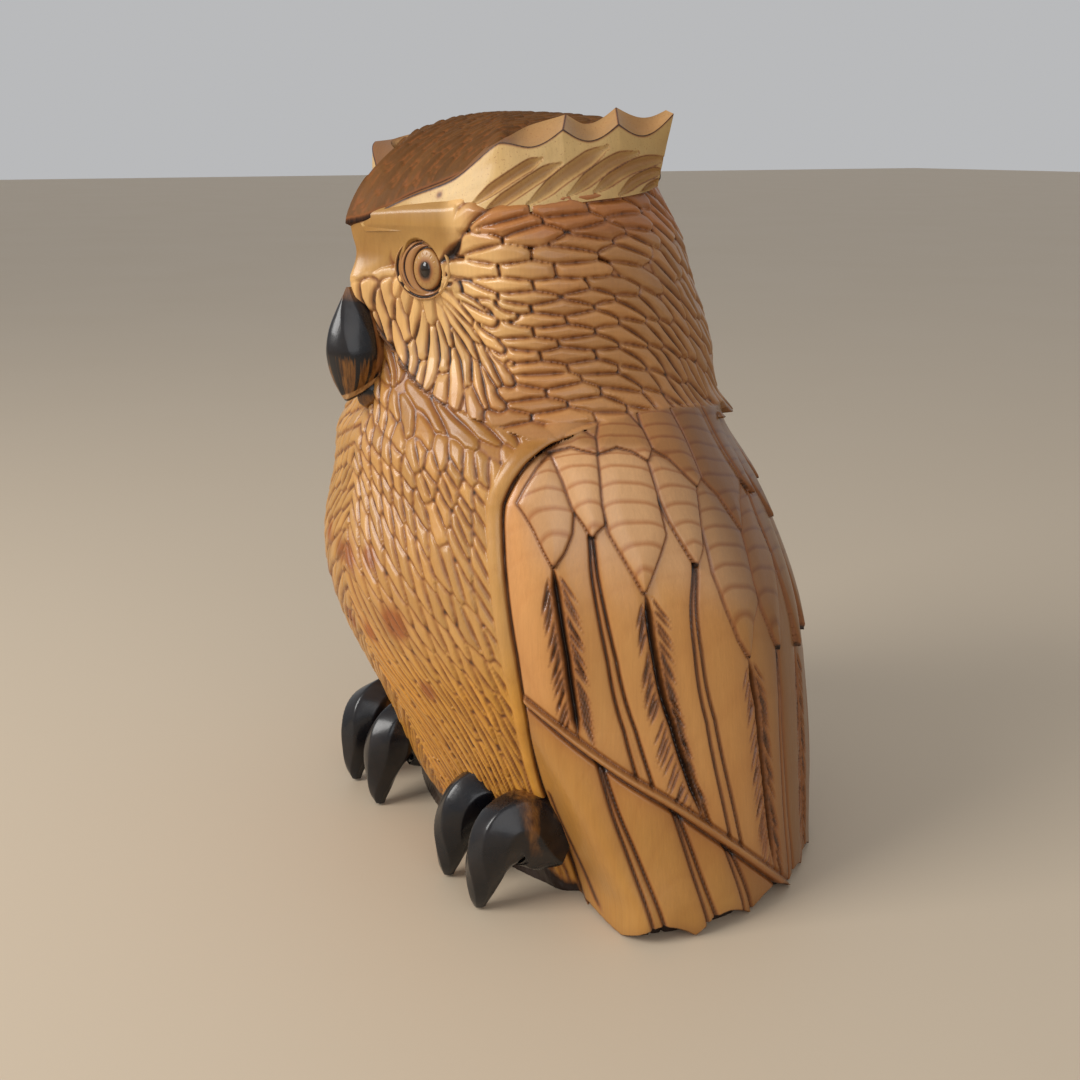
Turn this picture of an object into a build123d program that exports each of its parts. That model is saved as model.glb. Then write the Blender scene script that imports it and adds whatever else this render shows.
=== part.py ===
from build123d import *
import os
from math import cos, hypot, pi, radians, sin

# Owl figurine, carved from one log and lacquered. Millimetres. The origin is on the
# table under the middle of the log, +Z is up, the owl looks along -Y, and its left
# side is +X. Each sub-part is one carved zone of the block, cut along the lines where
# the carver changed the surface. The two pupils are real insets.

# Driving dimensions
NECK_HEIGHT = 208  # where the collar meets the head
CROWN_BASE = 286  # flat level where the brow crest and the crown start
OVERALL_HEIGHT = 331
FEATHER_COAT = 8  # thickness of the carved wing, mantle and tail layer
FACE_TURN = 30  # each face plane is turned this far from straight ahead, degrees
BACK_GAP = 12  # half the width of the tail strip between the wings
SECTION_POINTS = 32

# Horizontal sections: height, half width, centre y, front depth, back depth
TORSO_PROFILE = [
    (0, 114, 4, 66, 113),
    (25, 116, 4, 70, 114),
    (50, 118, 4, 80, 112),
    (75, 120, 4, 91, 108),
    (100, 122, 3, 102, 105),
    (120, 121, 0, 106, 105),
    (140, 117, -4, 105, 102),
    (160, 110, -8, 99, 98),
    (180, 101, -12, 91, 92),
    (NECK_HEIGHT, 84, -12, 83, 82),
]
# The coat over the wings stands further out towards the base, where it flares
COAT_PROFILE = [
    (0, 134, 0, 120, 118),
    (25, 132, 0, 110, 118),
    (50, 129, 2, 104, 115),
    (75, 126, 3, 102, 111),
    (100, 123, 3, 103, 107),
    (120, 121, 0, 106, 105),
    (140, 117, -4, 105, 102),
    (160, 110, -8, 99, 98),
    (180, 101, -12, 91, 92),
    (NECK_HEIGHT, 84, -12, 83, 82),
]
# The head adds the distance from the section's centre to its two flat face planes
HEAD_PROFILE = [
    (NECK_HEIGHT, 84, -12, 83, 82, 92),
    (218, 78, -12, 82, 81, 78),
    (232, 75, -13, 81, 81, 70),
    (248, 74, -17, 79, 79, 66),
    (265, 73, -21, 77, 76, 64),
    (CROWN_BASE, 69, -26, 72, 71, 64),
]

CROWN_PROFILE = [
    (CROWN_BASE, 69, -26, 75, 71),
    (300, 64, -27, 66, 65),
    (312, 55, -27, 54, 54),
    (322, 40, -27, 38, 39),
    (328.5, 16, -26, 16, 16),
]

# Side view (y, z) of the wing coat: front edge from the shoulder down, then the thin
# diagonal strip that parts the long wing feathers from the flank feathers
SHOULDER = (-31, NECK_HEIGHT)
WING_FRONT = [(-53, 199), (-66, 189), (-74, 175), (-77, 142)]
STRIP_FRONT = (-71, 102)
STRIP_BACK = (48, 0)
FLANK_FRONT = [(-49, 42), (-39, 15), (-39, 0)]
MANTLE_BACK = (130, 164)  # the mantle's lower edge ends here, past the back
COAT_REACH = 145  # past the widest point of the coat

# Eyes
EYE_CENTRE = (30, -79, 268)
EYE_RADIUS = 12
EYE_DEPTH = 5
PUPIL_RADIUS = 3.4
PUPIL_DEPTH = 2.5

# Beak sections: height, half width, front y, back y
UPPER_BEAK = [(216, 5, -106, -90), (224, 10, -110, -84), (236, 13, -112, -78),
              (248, 10, -109, -78), (260, 3, -103, -84)]
LOWER_BEAK = [(207, 3, -98, -84), (212, 7, -101, -82), (216, 8, -102, -80)]

# Brow crest seen from above, outer edge from the middle of the brow to the tuft's tip
CREST_OUTER = [(0, -101), (53, -57), (62, -34), (61, -6), (58, 19)]
CREST_INNER = [(45, 19), (43, -20), (34, -52), (0, -86)]
CREST_PEAKS = [(-57, 319), (-32, 327), (-7, OVERALL_HEIGHT), (19, 329)]
SCOOP_RADIUS = 17

# Talons: centre line in side view with radius, from the belly to the tip on the table
CLAW = [(-60, 44, 12.5), (-72, 36, 12), (-78, 23, 9.5), (-80, 10, 6), (-80, 0, 2.5)]
TALON_OFFSETS = {"inner": 42, "outer": 73}


def section_face(height, half_width, centre, front, back, face=None, inset=0):
    """A closed smooth outline at one height, two half ellipses cut by the face planes."""
    points = []
    for step in range(SECTION_POINTS):
        turn = 2 * pi * step / SECTION_POINTS
        depth = (front if cos(turn) > 0 else back) - inset
        reach = 1 / hypot(sin(turn) / (half_width - inset), cos(turn) / depth)
        if face:
            for side in (1, -1):
                slant = cos(turn - side * radians(FACE_TURN))
                if slant > 0.2:
                    reach = min(reach, face / slant)
        points.append((reach * sin(turn), centre - reach * cos(turn)))
    outline = Spline(*points, periodic=True)
    return Pos(0, 0, height) * make_face(outline)


def lofted(profile, inset=0):
    """The smooth solid through a list of horizontal sections."""
    faces = []
    for height, half_width, centre, front, back, *face in profile:
        flat = face[0] if face else None
        faces.append(section_face(height, half_width, centre, front, back, flat, inset))
    return loft(faces)


def side_prism(outline, x_from, x_to):
    """A prism along X over an outline given as (y, z) points."""
    face = make_face(Polyline(*[(0, y, z) for y, z in outline], close=True))
    width = x_to - x_from
    return Pos(x_from, 0, 0) * extrude(face, amount=width, dir=(1, 0, 0))


def plan_prism(outline, low, high):
    """A prism along Z over an outline given as (x, y) points."""
    face = make_face(Polyline(*outline, close=True))
    return Pos(0, 0, low) * extrude(face, amount=high - low, dir=(0, 0, 1))


def mirrored(shape):
    return mirror(shape, about=Plane.YZ)


def only_solid(shape, name):
    """The one solid of a cut, so that a node never holds stray slivers."""
    solids = sorted(shape.solids(), key=lambda solid: solid.volume)
    if len(solids) > 1:
        print(name, "drops slivers of", [round(s.volume, 3) for s in solids[:-1]])
    return solids[-1]


def coat_regions():
    """The prisms that share out the feather coat, left side and middle."""
    low, top, back = -1, NECK_HEIGHT + 1, MANTLE_BACK[0]
    slope = (STRIP_BACK[1] - STRIP_FRONT[1]) / (STRIP_BACK[0] - STRIP_FRONT[0])
    under = (STRIP_BACK[0] + (low - STRIP_BACK[1]) / slope, low)
    wing = [SHOULDER, *WING_FRONT, STRIP_FRONT, under, (back, low), MANTLE_BACK]
    flank = [STRIP_FRONT, *FLANK_FRONT, (FLANK_FRONT[-1][0], low), under]
    mantle = [SHOULDER, MANTLE_BACK, (back, top), (SHOULDER[0], top)]
    tail = [(60, low), (back, low), MANTLE_BACK, (60, 181)]
    return {
        "wing": side_prism(wing, BACK_GAP, COAT_REACH),
        "flank": side_prism(flank, BACK_GAP, COAT_REACH),
        "mantle": side_prism(mantle, -COAT_REACH, COAT_REACH),
        "tail": side_prism(tail, -BACK_GAP, BACK_GAP),
    }


def body_parts():
    """Torso and the coat of wings, flanks, mantle and tail around it."""
    core = lofted(TORSO_PROFILE, inset=FEATHER_COAT)
    torso = lofted(TORSO_PROFILE)
    coat = lofted(COAT_PROFILE) - core
    parts = {}
    for name, region in coat_regions().items():
        piece = only_solid(coat & region, name)
        cutter = region - core
        torso = torso - cutter
        if name in ("mantle", "tail"):
            parts[name] = piece
            continue
        torso = torso - mirrored(cutter)
        parts[name + "_left"] = piece
        parts[name + "_right"] = mirrored(piece)
    parts["torso"] = only_solid(torso, "torso")
    return parts


def eye_parts():
    """Scribed eye discs sunk into the face, each with a glossy domed pupil."""
    x, y, z = EYE_CENTRE
    outward = (sin(radians(FACE_TURN)), -cos(radians(FACE_TURN)), 0)
    seat = Plane(origin=(x, y, z), z_dir=outward)
    disc = seat * Pos(0, 0, -EYE_DEPTH / 2) * Cylinder(EYE_RADIUS, EYE_DEPTH + 1)
    pupil = seat * Pos(0, 0, -PUPIL_DEPTH / 2) * Cylinder(PUPIL_RADIUS, PUPIL_DEPTH + 2)
    return disc - pupil, pupil, disc


def beak_part(profile):
    """A lofted half of the beak, through ellipses at each height."""
    faces = []
    for height, half_width, front, back in profile:
        points = []
        for step in range(12):
            turn = 2 * pi * step / 12
            y = (front + back) / 2 - (back - front) / 2 * cos(turn)
            points.append((half_width * sin(turn), y))
        faces.append(Pos(0, 0, height) * make_face(Spline(*points, periodic=True)))
    return loft(faces)


def crest_part():
    """The left half of the brow crest with its ear tuft and three scoops."""
    plan = plan_prism(CREST_OUTER + CREST_INNER, CROWN_BASE, OVERALL_HEIGHT)
    brow = [(-102, 286), (-102, 292)]
    side = [*brow, *CREST_PEAKS, (14, 301), (14, CROWN_BASE)]
    crest = plan & side_prism(side, -1, COAT_REACH)
    for (y0, z0), (y1, z1) in zip(CREST_PEAKS, CREST_PEAKS[1:]):
        middle = ((y0 + y1) / 2, (z0 + z1) / 2)
        scoop = Cylinder(SCOOP_RADIUS, 90, rotation=(0, 90, 0))
        crest -= Pos(50, middle[0], middle[1] + SCOOP_RADIUS * 0.72) * scoop
    return only_solid(crest, "crest")


def crown_part(crests):
    """The domed crown that rises between the two crests and falls away behind them."""
    crown = lofted(CROWN_PROFILE)
    for crest in crests:
        crown -= crest
    return only_solid(crown, "crown")


def claw_part(offset):
    """One talon: a horn that leaves the belly, arches forward and stands on its tip."""
    faces = []
    for index, (y, z, radius) in enumerate(CLAW):
        before = CLAW[max(index - 1, 0)]
        after = CLAW[min(index + 1, len(CLAW) - 1)]
        along = (0, after[0] - before[0], after[1] - before[1])
        if z == 0:
            along = (0, 0, -1)
        plane = Plane(origin=(offset, y, z), x_dir=(1, 0, 0), z_dir=along)
        faces.append(plane * Circle(radius))
    return loft(faces)


def build():
    parts = body_parts()
    head = lofted(HEAD_PROFILE)
    eye, pupil, socket = eye_parts()
    for side, turn in (("left", lambda s: s), ("right", mirrored)):
        head -= turn(socket)
        parts["eye_" + side] = turn(eye)
        parts["pupil_" + side] = turn(pupil)
        crest = turn(crest_part())
        parts["brow_crest_" + side] = crest
        for name, offset in TALON_OFFSETS.items():
            claw = turn(claw_part(offset))
            parts["talon_" + side + "_" + name] = only_solid(claw - lofted(TORSO_PROFILE), name)
    parts["crown"] = crown_part([parts["brow_crest_left"], parts["brow_crest_right"]])
    upper = beak_part(UPPER_BEAK)
    lower = beak_part(LOWER_BEAK)
    parts["beak_upper"] = only_solid(upper - head - parts["torso"], "beak_upper")
    parts["beak_lower"] = only_solid(lower - head - parts["torso"] - upper, "beak_lower")
    parts["head"] = only_solid(head, "head")
    return parts


def main():
    os.makedirs("parts", exist_ok=True)
    for name, shape in build().items():
        shape.label = name
        export_step(shape, os.path.join("parts", name + ".step"))
        print(name, round(shape.volume), shape.bounding_box().min, shape.bounding_box().max)


main()
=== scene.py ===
"""Owl figurine carved from one log: gouged feathers, scorched grooves and honey lacquer."""

import bpy
import numpy as np
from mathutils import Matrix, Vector
from mathutils.bvhtree import BVHTree


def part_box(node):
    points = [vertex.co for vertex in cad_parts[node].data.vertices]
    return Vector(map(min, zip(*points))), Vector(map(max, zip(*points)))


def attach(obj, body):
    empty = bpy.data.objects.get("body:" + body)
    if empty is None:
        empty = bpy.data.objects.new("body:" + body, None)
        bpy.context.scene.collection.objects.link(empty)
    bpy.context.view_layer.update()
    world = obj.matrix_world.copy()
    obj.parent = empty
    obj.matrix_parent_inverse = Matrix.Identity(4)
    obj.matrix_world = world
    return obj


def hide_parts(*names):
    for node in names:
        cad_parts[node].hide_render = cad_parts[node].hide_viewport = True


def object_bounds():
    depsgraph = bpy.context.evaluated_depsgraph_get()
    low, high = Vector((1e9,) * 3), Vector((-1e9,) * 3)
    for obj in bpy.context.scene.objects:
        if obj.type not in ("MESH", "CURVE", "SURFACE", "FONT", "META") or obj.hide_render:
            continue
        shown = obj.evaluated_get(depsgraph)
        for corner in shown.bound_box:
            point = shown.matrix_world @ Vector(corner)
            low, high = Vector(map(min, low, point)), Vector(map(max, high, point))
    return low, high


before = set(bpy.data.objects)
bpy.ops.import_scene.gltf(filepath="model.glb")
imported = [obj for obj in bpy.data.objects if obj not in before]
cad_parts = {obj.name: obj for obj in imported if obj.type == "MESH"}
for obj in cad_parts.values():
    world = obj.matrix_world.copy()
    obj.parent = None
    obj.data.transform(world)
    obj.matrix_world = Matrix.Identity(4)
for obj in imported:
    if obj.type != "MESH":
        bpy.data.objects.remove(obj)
cad_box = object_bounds()

MM = 0.001

# ------------------------------------------------------------------ the carved chart
# The block's sides are carved on a chart of azimuth (degrees from straight ahead, towards
# the side being carved) and height (mm). The two halves are carved one after the other.
COLUMNS = 600
ROWS = 547
CHART_TOP = 301.0
ANGLES = np.linspace(0, 180, COLUMNS + 1)
HEIGHTS = np.linspace(0, CHART_TOP, ROWS + 1)
# Heights and the y of the block's axis there
AXIS = [(0, 4), (90, 4), (120, 0), (140, -4), (160, -8), (180, -12), (232, -13),
        (248, -17), (265, -21), (286, -26), (301, -29)]
COAT_NODES = ("wing_left", "wing_right", "flank_left", "flank_right", "mantle", "tail")
CORE_NODES = ("torso", "head", "eye_left", "eye_right", "pupil_left", "pupil_right")
HEAD_LEVEL = 285.0      # highest level at which the head's own solid is measured
TOP_TAPER = 0.0045      # share of the radius lost for each mm above HEAD_LEVEL
FOLD = 208.0            # height at which the feather coat folds in under the head

# Lines on the chart, as (azimuth, height)
COLLAR = [(66, -6), (62, 15), (57, 38), (53.5, 58), (51.8, 80), (51.4, 100), (51.4, 140),
          (51.8, 163), (53, 180), (57, 192.5), (62, 199.5), (68, 204), (80, 209.5),
          (94, 212), (107, 211.5), (120, 209.5), (140, 206.5), (186, 203)]
CREST_FOOT = [(0, 285), (5, 284.5), (21, 286), (39, 287), (55, 289.5), (70, 292), (83, 294.5),
              (96, 296), (107, 297), (118, 298.5), (126, 298), (140, 297), (180, 297)]
STRIP = [(51.5, 101.2), (60, 87.5), (70, 72.5), (80, 57.5), (90, 39), (100, 19),
         (107, 5), (112, -6)]
# Open slits between the long feathers, and the raised quills between the slits
SLITS = [
    [(62, 159), (61.6, 120), (62, 86)],
    [(80, 148), (78.8, 120), (80.5, 90), (86.5, 47)],
    [(100.5, 113), (101, 88), (102, 60), (105, 9)],
    [(121.5, 105), (120, 75), (119.5, 45), (121, 4)],
    [(142, 102), (140, 70), (139.5, 40), (140.5, 4)],
    [(161, 98), (160, 70), (160, 40), (160, 4)],
]
SHAFTS = [
    [(71.5, 168), (70.2, 150), (70.2, 120), (71.5, 95), (75, 66)],
    [(93, 154), (89, 135), (87.8, 110), (89.3, 80), (94, 31)],
    [(111, 111), (109.3, 85), (109.3, 50), (111.5, 2)],
    [(131.5, 105), (130, 80), (130, 40), (131, 2)],
    [(152, 100), (150, 80), (150, 40), (150, 2)],
    [(171.5, 98), (170, 70), (170, 40), (170, 2)],
]
# Leaf-shaped feathers whose outlines meet, as carved on the shoulder, each from its outline
WING_CELLS = [
    [(56, 181), (58, 187), (61, 194), (64.5, 199), (67, 189), (69, 178), (67.5, 170), (65, 163),
     (62, 157), (60.5, 164), (59, 172), (57.5, 177)],
    [(64.5, 199), (70, 201.2), (76.5, 198.5), (76.4, 185), (75.2, 173), (73, 170.5), (71.5, 168),
     (70.5, 173), (69, 178), (67, 189)],
    [(76.5, 198.5), (82, 200.5), (86, 198.5), (89.7, 194.5), (90, 182), (88.5, 167), (84, 157),
     (79.4, 146), (77.5, 158), (75.4, 170), (75.8, 184)],
    [(89.7, 194.5), (92, 198.5), (96, 194.5), (102.5, 182), (99.5, 172), (96.5, 160), (93, 153),
     (91.5, 162), (90.2, 172), (90, 182)],
    [(102.5, 182), (105, 184.8), (108.5, 177), (111, 161), (108.8, 148), (107, 133), (103.5, 126),
     (100.2, 112), (98, 121), (96.8, 135), (96.4, 150), (98.4, 168)],
    [(111, 161), (116, 171), (123, 178), (124, 172), (121.5, 160), (120.8, 145), (114, 123),
     (111, 109), (109, 117), (107.4, 130), (107.6, 142)],
]
MANTLE_CELLS = [
    [(62, 199), (66, 205), (72, 209), (77, 204), (76.5, 198.5), (70, 201.2), (64.5, 199.5)],
    [(76.5, 198.5), (77, 204), (80, 214), (88, 214), (91.5, 206), (92, 198.5), (89.7, 194.5),
     (86, 198.5), (82, 200.5)],
    [(92, 198.5), (91.5, 206), (92, 218), (104, 218), (105, 200), (105, 184.8), (102.5, 182),
     (96, 194.5)],
    [(105, 184.8), (105, 200), (104, 218), (118, 218), (121, 190), (123, 178), (116, 171),
     (111, 161), (108.5, 177)],
]
# Wing feathers further round: root, tip, half width in mm, bluntness
COVERTS = [
    ((131, 186), (122, 103), 11.5, 3.4), ((141, 184), (132, 104), 11.0, 3.4),
    ((151, 182), (142, 100), 11.5, 3.4), ((161, 182), (152, 101), 11.0, 3.4),
    ((170, 182), (161.5, 97), 11.5, 3.4), ((179, 180), (171.5, 97), 11.0, 3.4),
    ((187, 180), (181, 97), 11.5, 3.4),
]
MANTLE_SCALES = [
    ((124, 222), (125.5, 171), 10.5, 3.4), ((134.5, 220), (134, 156), 12.5, 3.0),
    ((145.5, 218), (145.5, 169), 10.5, 3.4), ((157, 216), (157, 154), 12.5, 3.0),
    ((168, 214), (168, 167), 10.5, 3.4), ((180, 214), (180, 152), 13, 3.0),
]
FLANK_LINES = [
    [(66, 78), (69, 56), (72, 38), (75, 18), (77.5, -3)],
    [(79.5, 60), (83, 36), (86, 12), (88, -3)],
    [(90.5, 38), (93.5, 20), (96.5, -3)],
]
# Azimuths of the points between the scallops of the foot
FOOT_TIPS = [70.5, 83.5, 96.5, 110, 119, 128, 138, 148, 158, 168, 180]
EYE = (25.0, 268.3)
EYE_REACH = 12.4        # mm round the eye that stay free of feathers
HEAD_MM = 1.31          # millimetres per degree near the eye
# Azimuth by height at which the raised disc of the face ends, then the height by azimuth
# at which the bare forehead starts
DISC_EDGE = [(200, 34), (208, 42), (215, 47), (225, 50), (238, 51), (250, 53), (257, 50),
             (262, 38), (266, 38), (270, 40), (275, 43.5), (281, 48), (302, 49)]
FOREHEAD_EDGE = [(0, 258), (8, 266), (13, 270), (16, 262), (20, 257), (30, 257), (36, 262), (60, 262)]


# ------------------------------------------------------------------ colours (linear)
BREAST = (0.51, 0.270, 0.080)
BELLY = (0.60, 0.285, 0.042)
THROAT = (0.35, 0.155, 0.026)
BELLY_LOW = (0.47, 0.205, 0.044)
RED_PATCH = (0.34, 0.110, 0.024)
CHEEK = (0.66, 0.395, 0.150)
HEAD = (0.44, 0.210, 0.070)
FOREHEAD = (0.37, 0.195, 0.050)
# Painted shade towards the back of the head
NAPE_SHADE_BROWN = (0.33, 0.160, 0.058)
PRIMARY = (0.54, 0.262, 0.076)
PANEL = (0.60, 0.290, 0.098)
COVERT = (0.57, 0.315, 0.140)
# Painted shade on the back of the wing and flank
REAR_SHADE_BROWN = (0.21, 0.090, 0.025)
MANTLE = (0.345, 0.160, 0.048)
FLANK = (0.47, 0.235, 0.055)
CROWN_BROWN = (0.120, 0.051, 0.014)
CROWN_FRONT = (0.195, 0.084, 0.024)
CREST_PALE = (0.58, 0.385, 0.155)
CREST_REAR = (0.44, 0.285, 0.105)
SCOOP_BROWN = (0.42, 0.235, 0.088)
EYE_BROWN = (0.34, 0.160, 0.052)
IRIS_TAN = (0.38, 0.200, 0.062)
LIP_TAN = (0.48, 0.270, 0.110)
CERE_BROWN = (0.30, 0.125, 0.040)
BURNT_BROWN = (0.21, 0.085, 0.018)
CHAR = (0.022, 0.010, 0.006, 1)
# Brown of real stain and scorched edges, also used for painted shade in the hollows
STAIN_AND_SHADE_BROWN = (0.25, 0.082, 0.022, 1)


# ------------------------------------------------------------------ small helpers
def smooth01(value):
    value = np.clip(value, 0, 1)
    return value * value * (3 - 2 * value)


def bell(value):
    return np.exp(-value ** 2)


def circle(count):
    """Angles of evenly spaced points round a circle, in radians."""
    return np.linspace(0, 2 * np.pi, count, endpoint=False)


def catmull(points, per_span=6):
    """A smooth line through a few points."""
    p = np.array(points, float)
    p = np.vstack([2 * p[0] - p[1], p, 2 * p[-1] - p[-2]])
    spans = len(p) - 3
    t = np.linspace(0, spans, spans * per_span + 1)
    i = np.minimum(t.astype(int), spans - 1)
    f = (t - i)[:, None]
    a, b, c, d = p[i], p[i + 1], p[i + 2], p[i + 3]
    return 0.5 * (2 * b + (c - a) * f + (2 * a - 5 * b + 4 * c - d) * f ** 2
                  + (3 * b - a - 3 * c + d) * f ** 3)


def blur(field, rows, columns, passes=2):
    """Box blurs each way, with held edges."""
    for axis, width in ((0, rows), (1, columns)):
        if width < 1:
            continue
        for _ in range(passes):
            pad = [(0, 0), (0, 0)]
            pad[axis] = (width + 1, width)
            total = np.cumsum(np.pad(field, pad, mode="edge"), axis=axis)
            size = 2 * width + 1
            high = np.take(total, np.arange(size, total.shape[axis]), axis=axis)
            low = np.take(total, np.arange(0, total.shape[axis] - size), axis=axis)
            field = (high - low) / size
    return field


def axis_y(height):
    points = np.array(AXIS, float)
    return np.interp(height, points[:, 0], points[:, 1])


def line_at(points, heights):
    """Azimuth of an up-and-down line at each height, held beyond its ends."""
    p = catmull(points)
    order = np.argsort(p[:, 1])
    return np.interp(heights, p[order, 1], p[order, 0])


# ------------------------------------------------------------------ envelope from the CAD
def tree_of(names):
    """One search tree over some CAD nodes, in millimetres."""
    verts, faces = [], []
    for name in names:
        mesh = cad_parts[name].data
        start = len(verts)
        verts.extend(v.co / MM for v in mesh.vertices)
        faces.extend([start + i for i in p.vertices] for p in mesh.polygons)
    return BVHTree.FromPolygons(verts, faces)


def envelope(tree, angles, heights, reach=150.0):
    """Distance from the block's axis to the outermost surface in the tree."""
    out = np.full((len(heights), len(angles)), np.nan)
    for i, z in enumerate(heights):
        centre = Vector((0, axis_y(z), z))
        for j, angle in enumerate(np.radians(angles)):
            way = Vector((np.sin(angle), -np.cos(angle), 0))
            hit = tree.ray_cast(centre + way * reach, -way, reach)[0]
            if hit is not None:
                out[i, j] = (hit - centre).length
    return out


def filled(field):
    """The field with gaps closed along rows, then along columns."""
    for lines in (field, field.T):
        for line in lines:
            known = np.flatnonzero(~np.isnan(line))
            if len(known):
                line[:] = np.interp(np.arange(len(line)), known, line[known])
    return field


def block_radii():
    """Radii of the body and of the feather coat over half the chart."""
    angles = np.arange(0, 180.1, 2.5)
    heights = np.append(np.arange(0.5, HEAD_LEVEL, 3.0), HEAD_LEVEL)
    coat = envelope(tree_of(COAT_NODES), angles, heights)
    core = envelope(tree_of(CORE_NODES), angles, heights)
    covered = ~np.isnan(coat) & (heights[:, None] < FOLD)
    core[covered] = np.nan
    core = filled(core)
    coat = np.where(heights[:, None] > FOLD - 3, core, coat)
    out = []
    for field in (core, filled(coat)):
        field = np.array([np.interp(ANGLES, angles, row) for row in field])
        field = np.array([np.interp(HEIGHTS, heights, col) for col in field.T]).T
        field = blur(field, 6, 6)
        taper = 1 - TOP_TAPER * np.clip(HEIGHTS - HEAD_LEVEL, 0, None)
        out.append(field * taper[:, None])
    return out


# ------------------------------------------------------------------ carving tools
FAR = 9.0       # stands for any distance that is too large to matter


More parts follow.
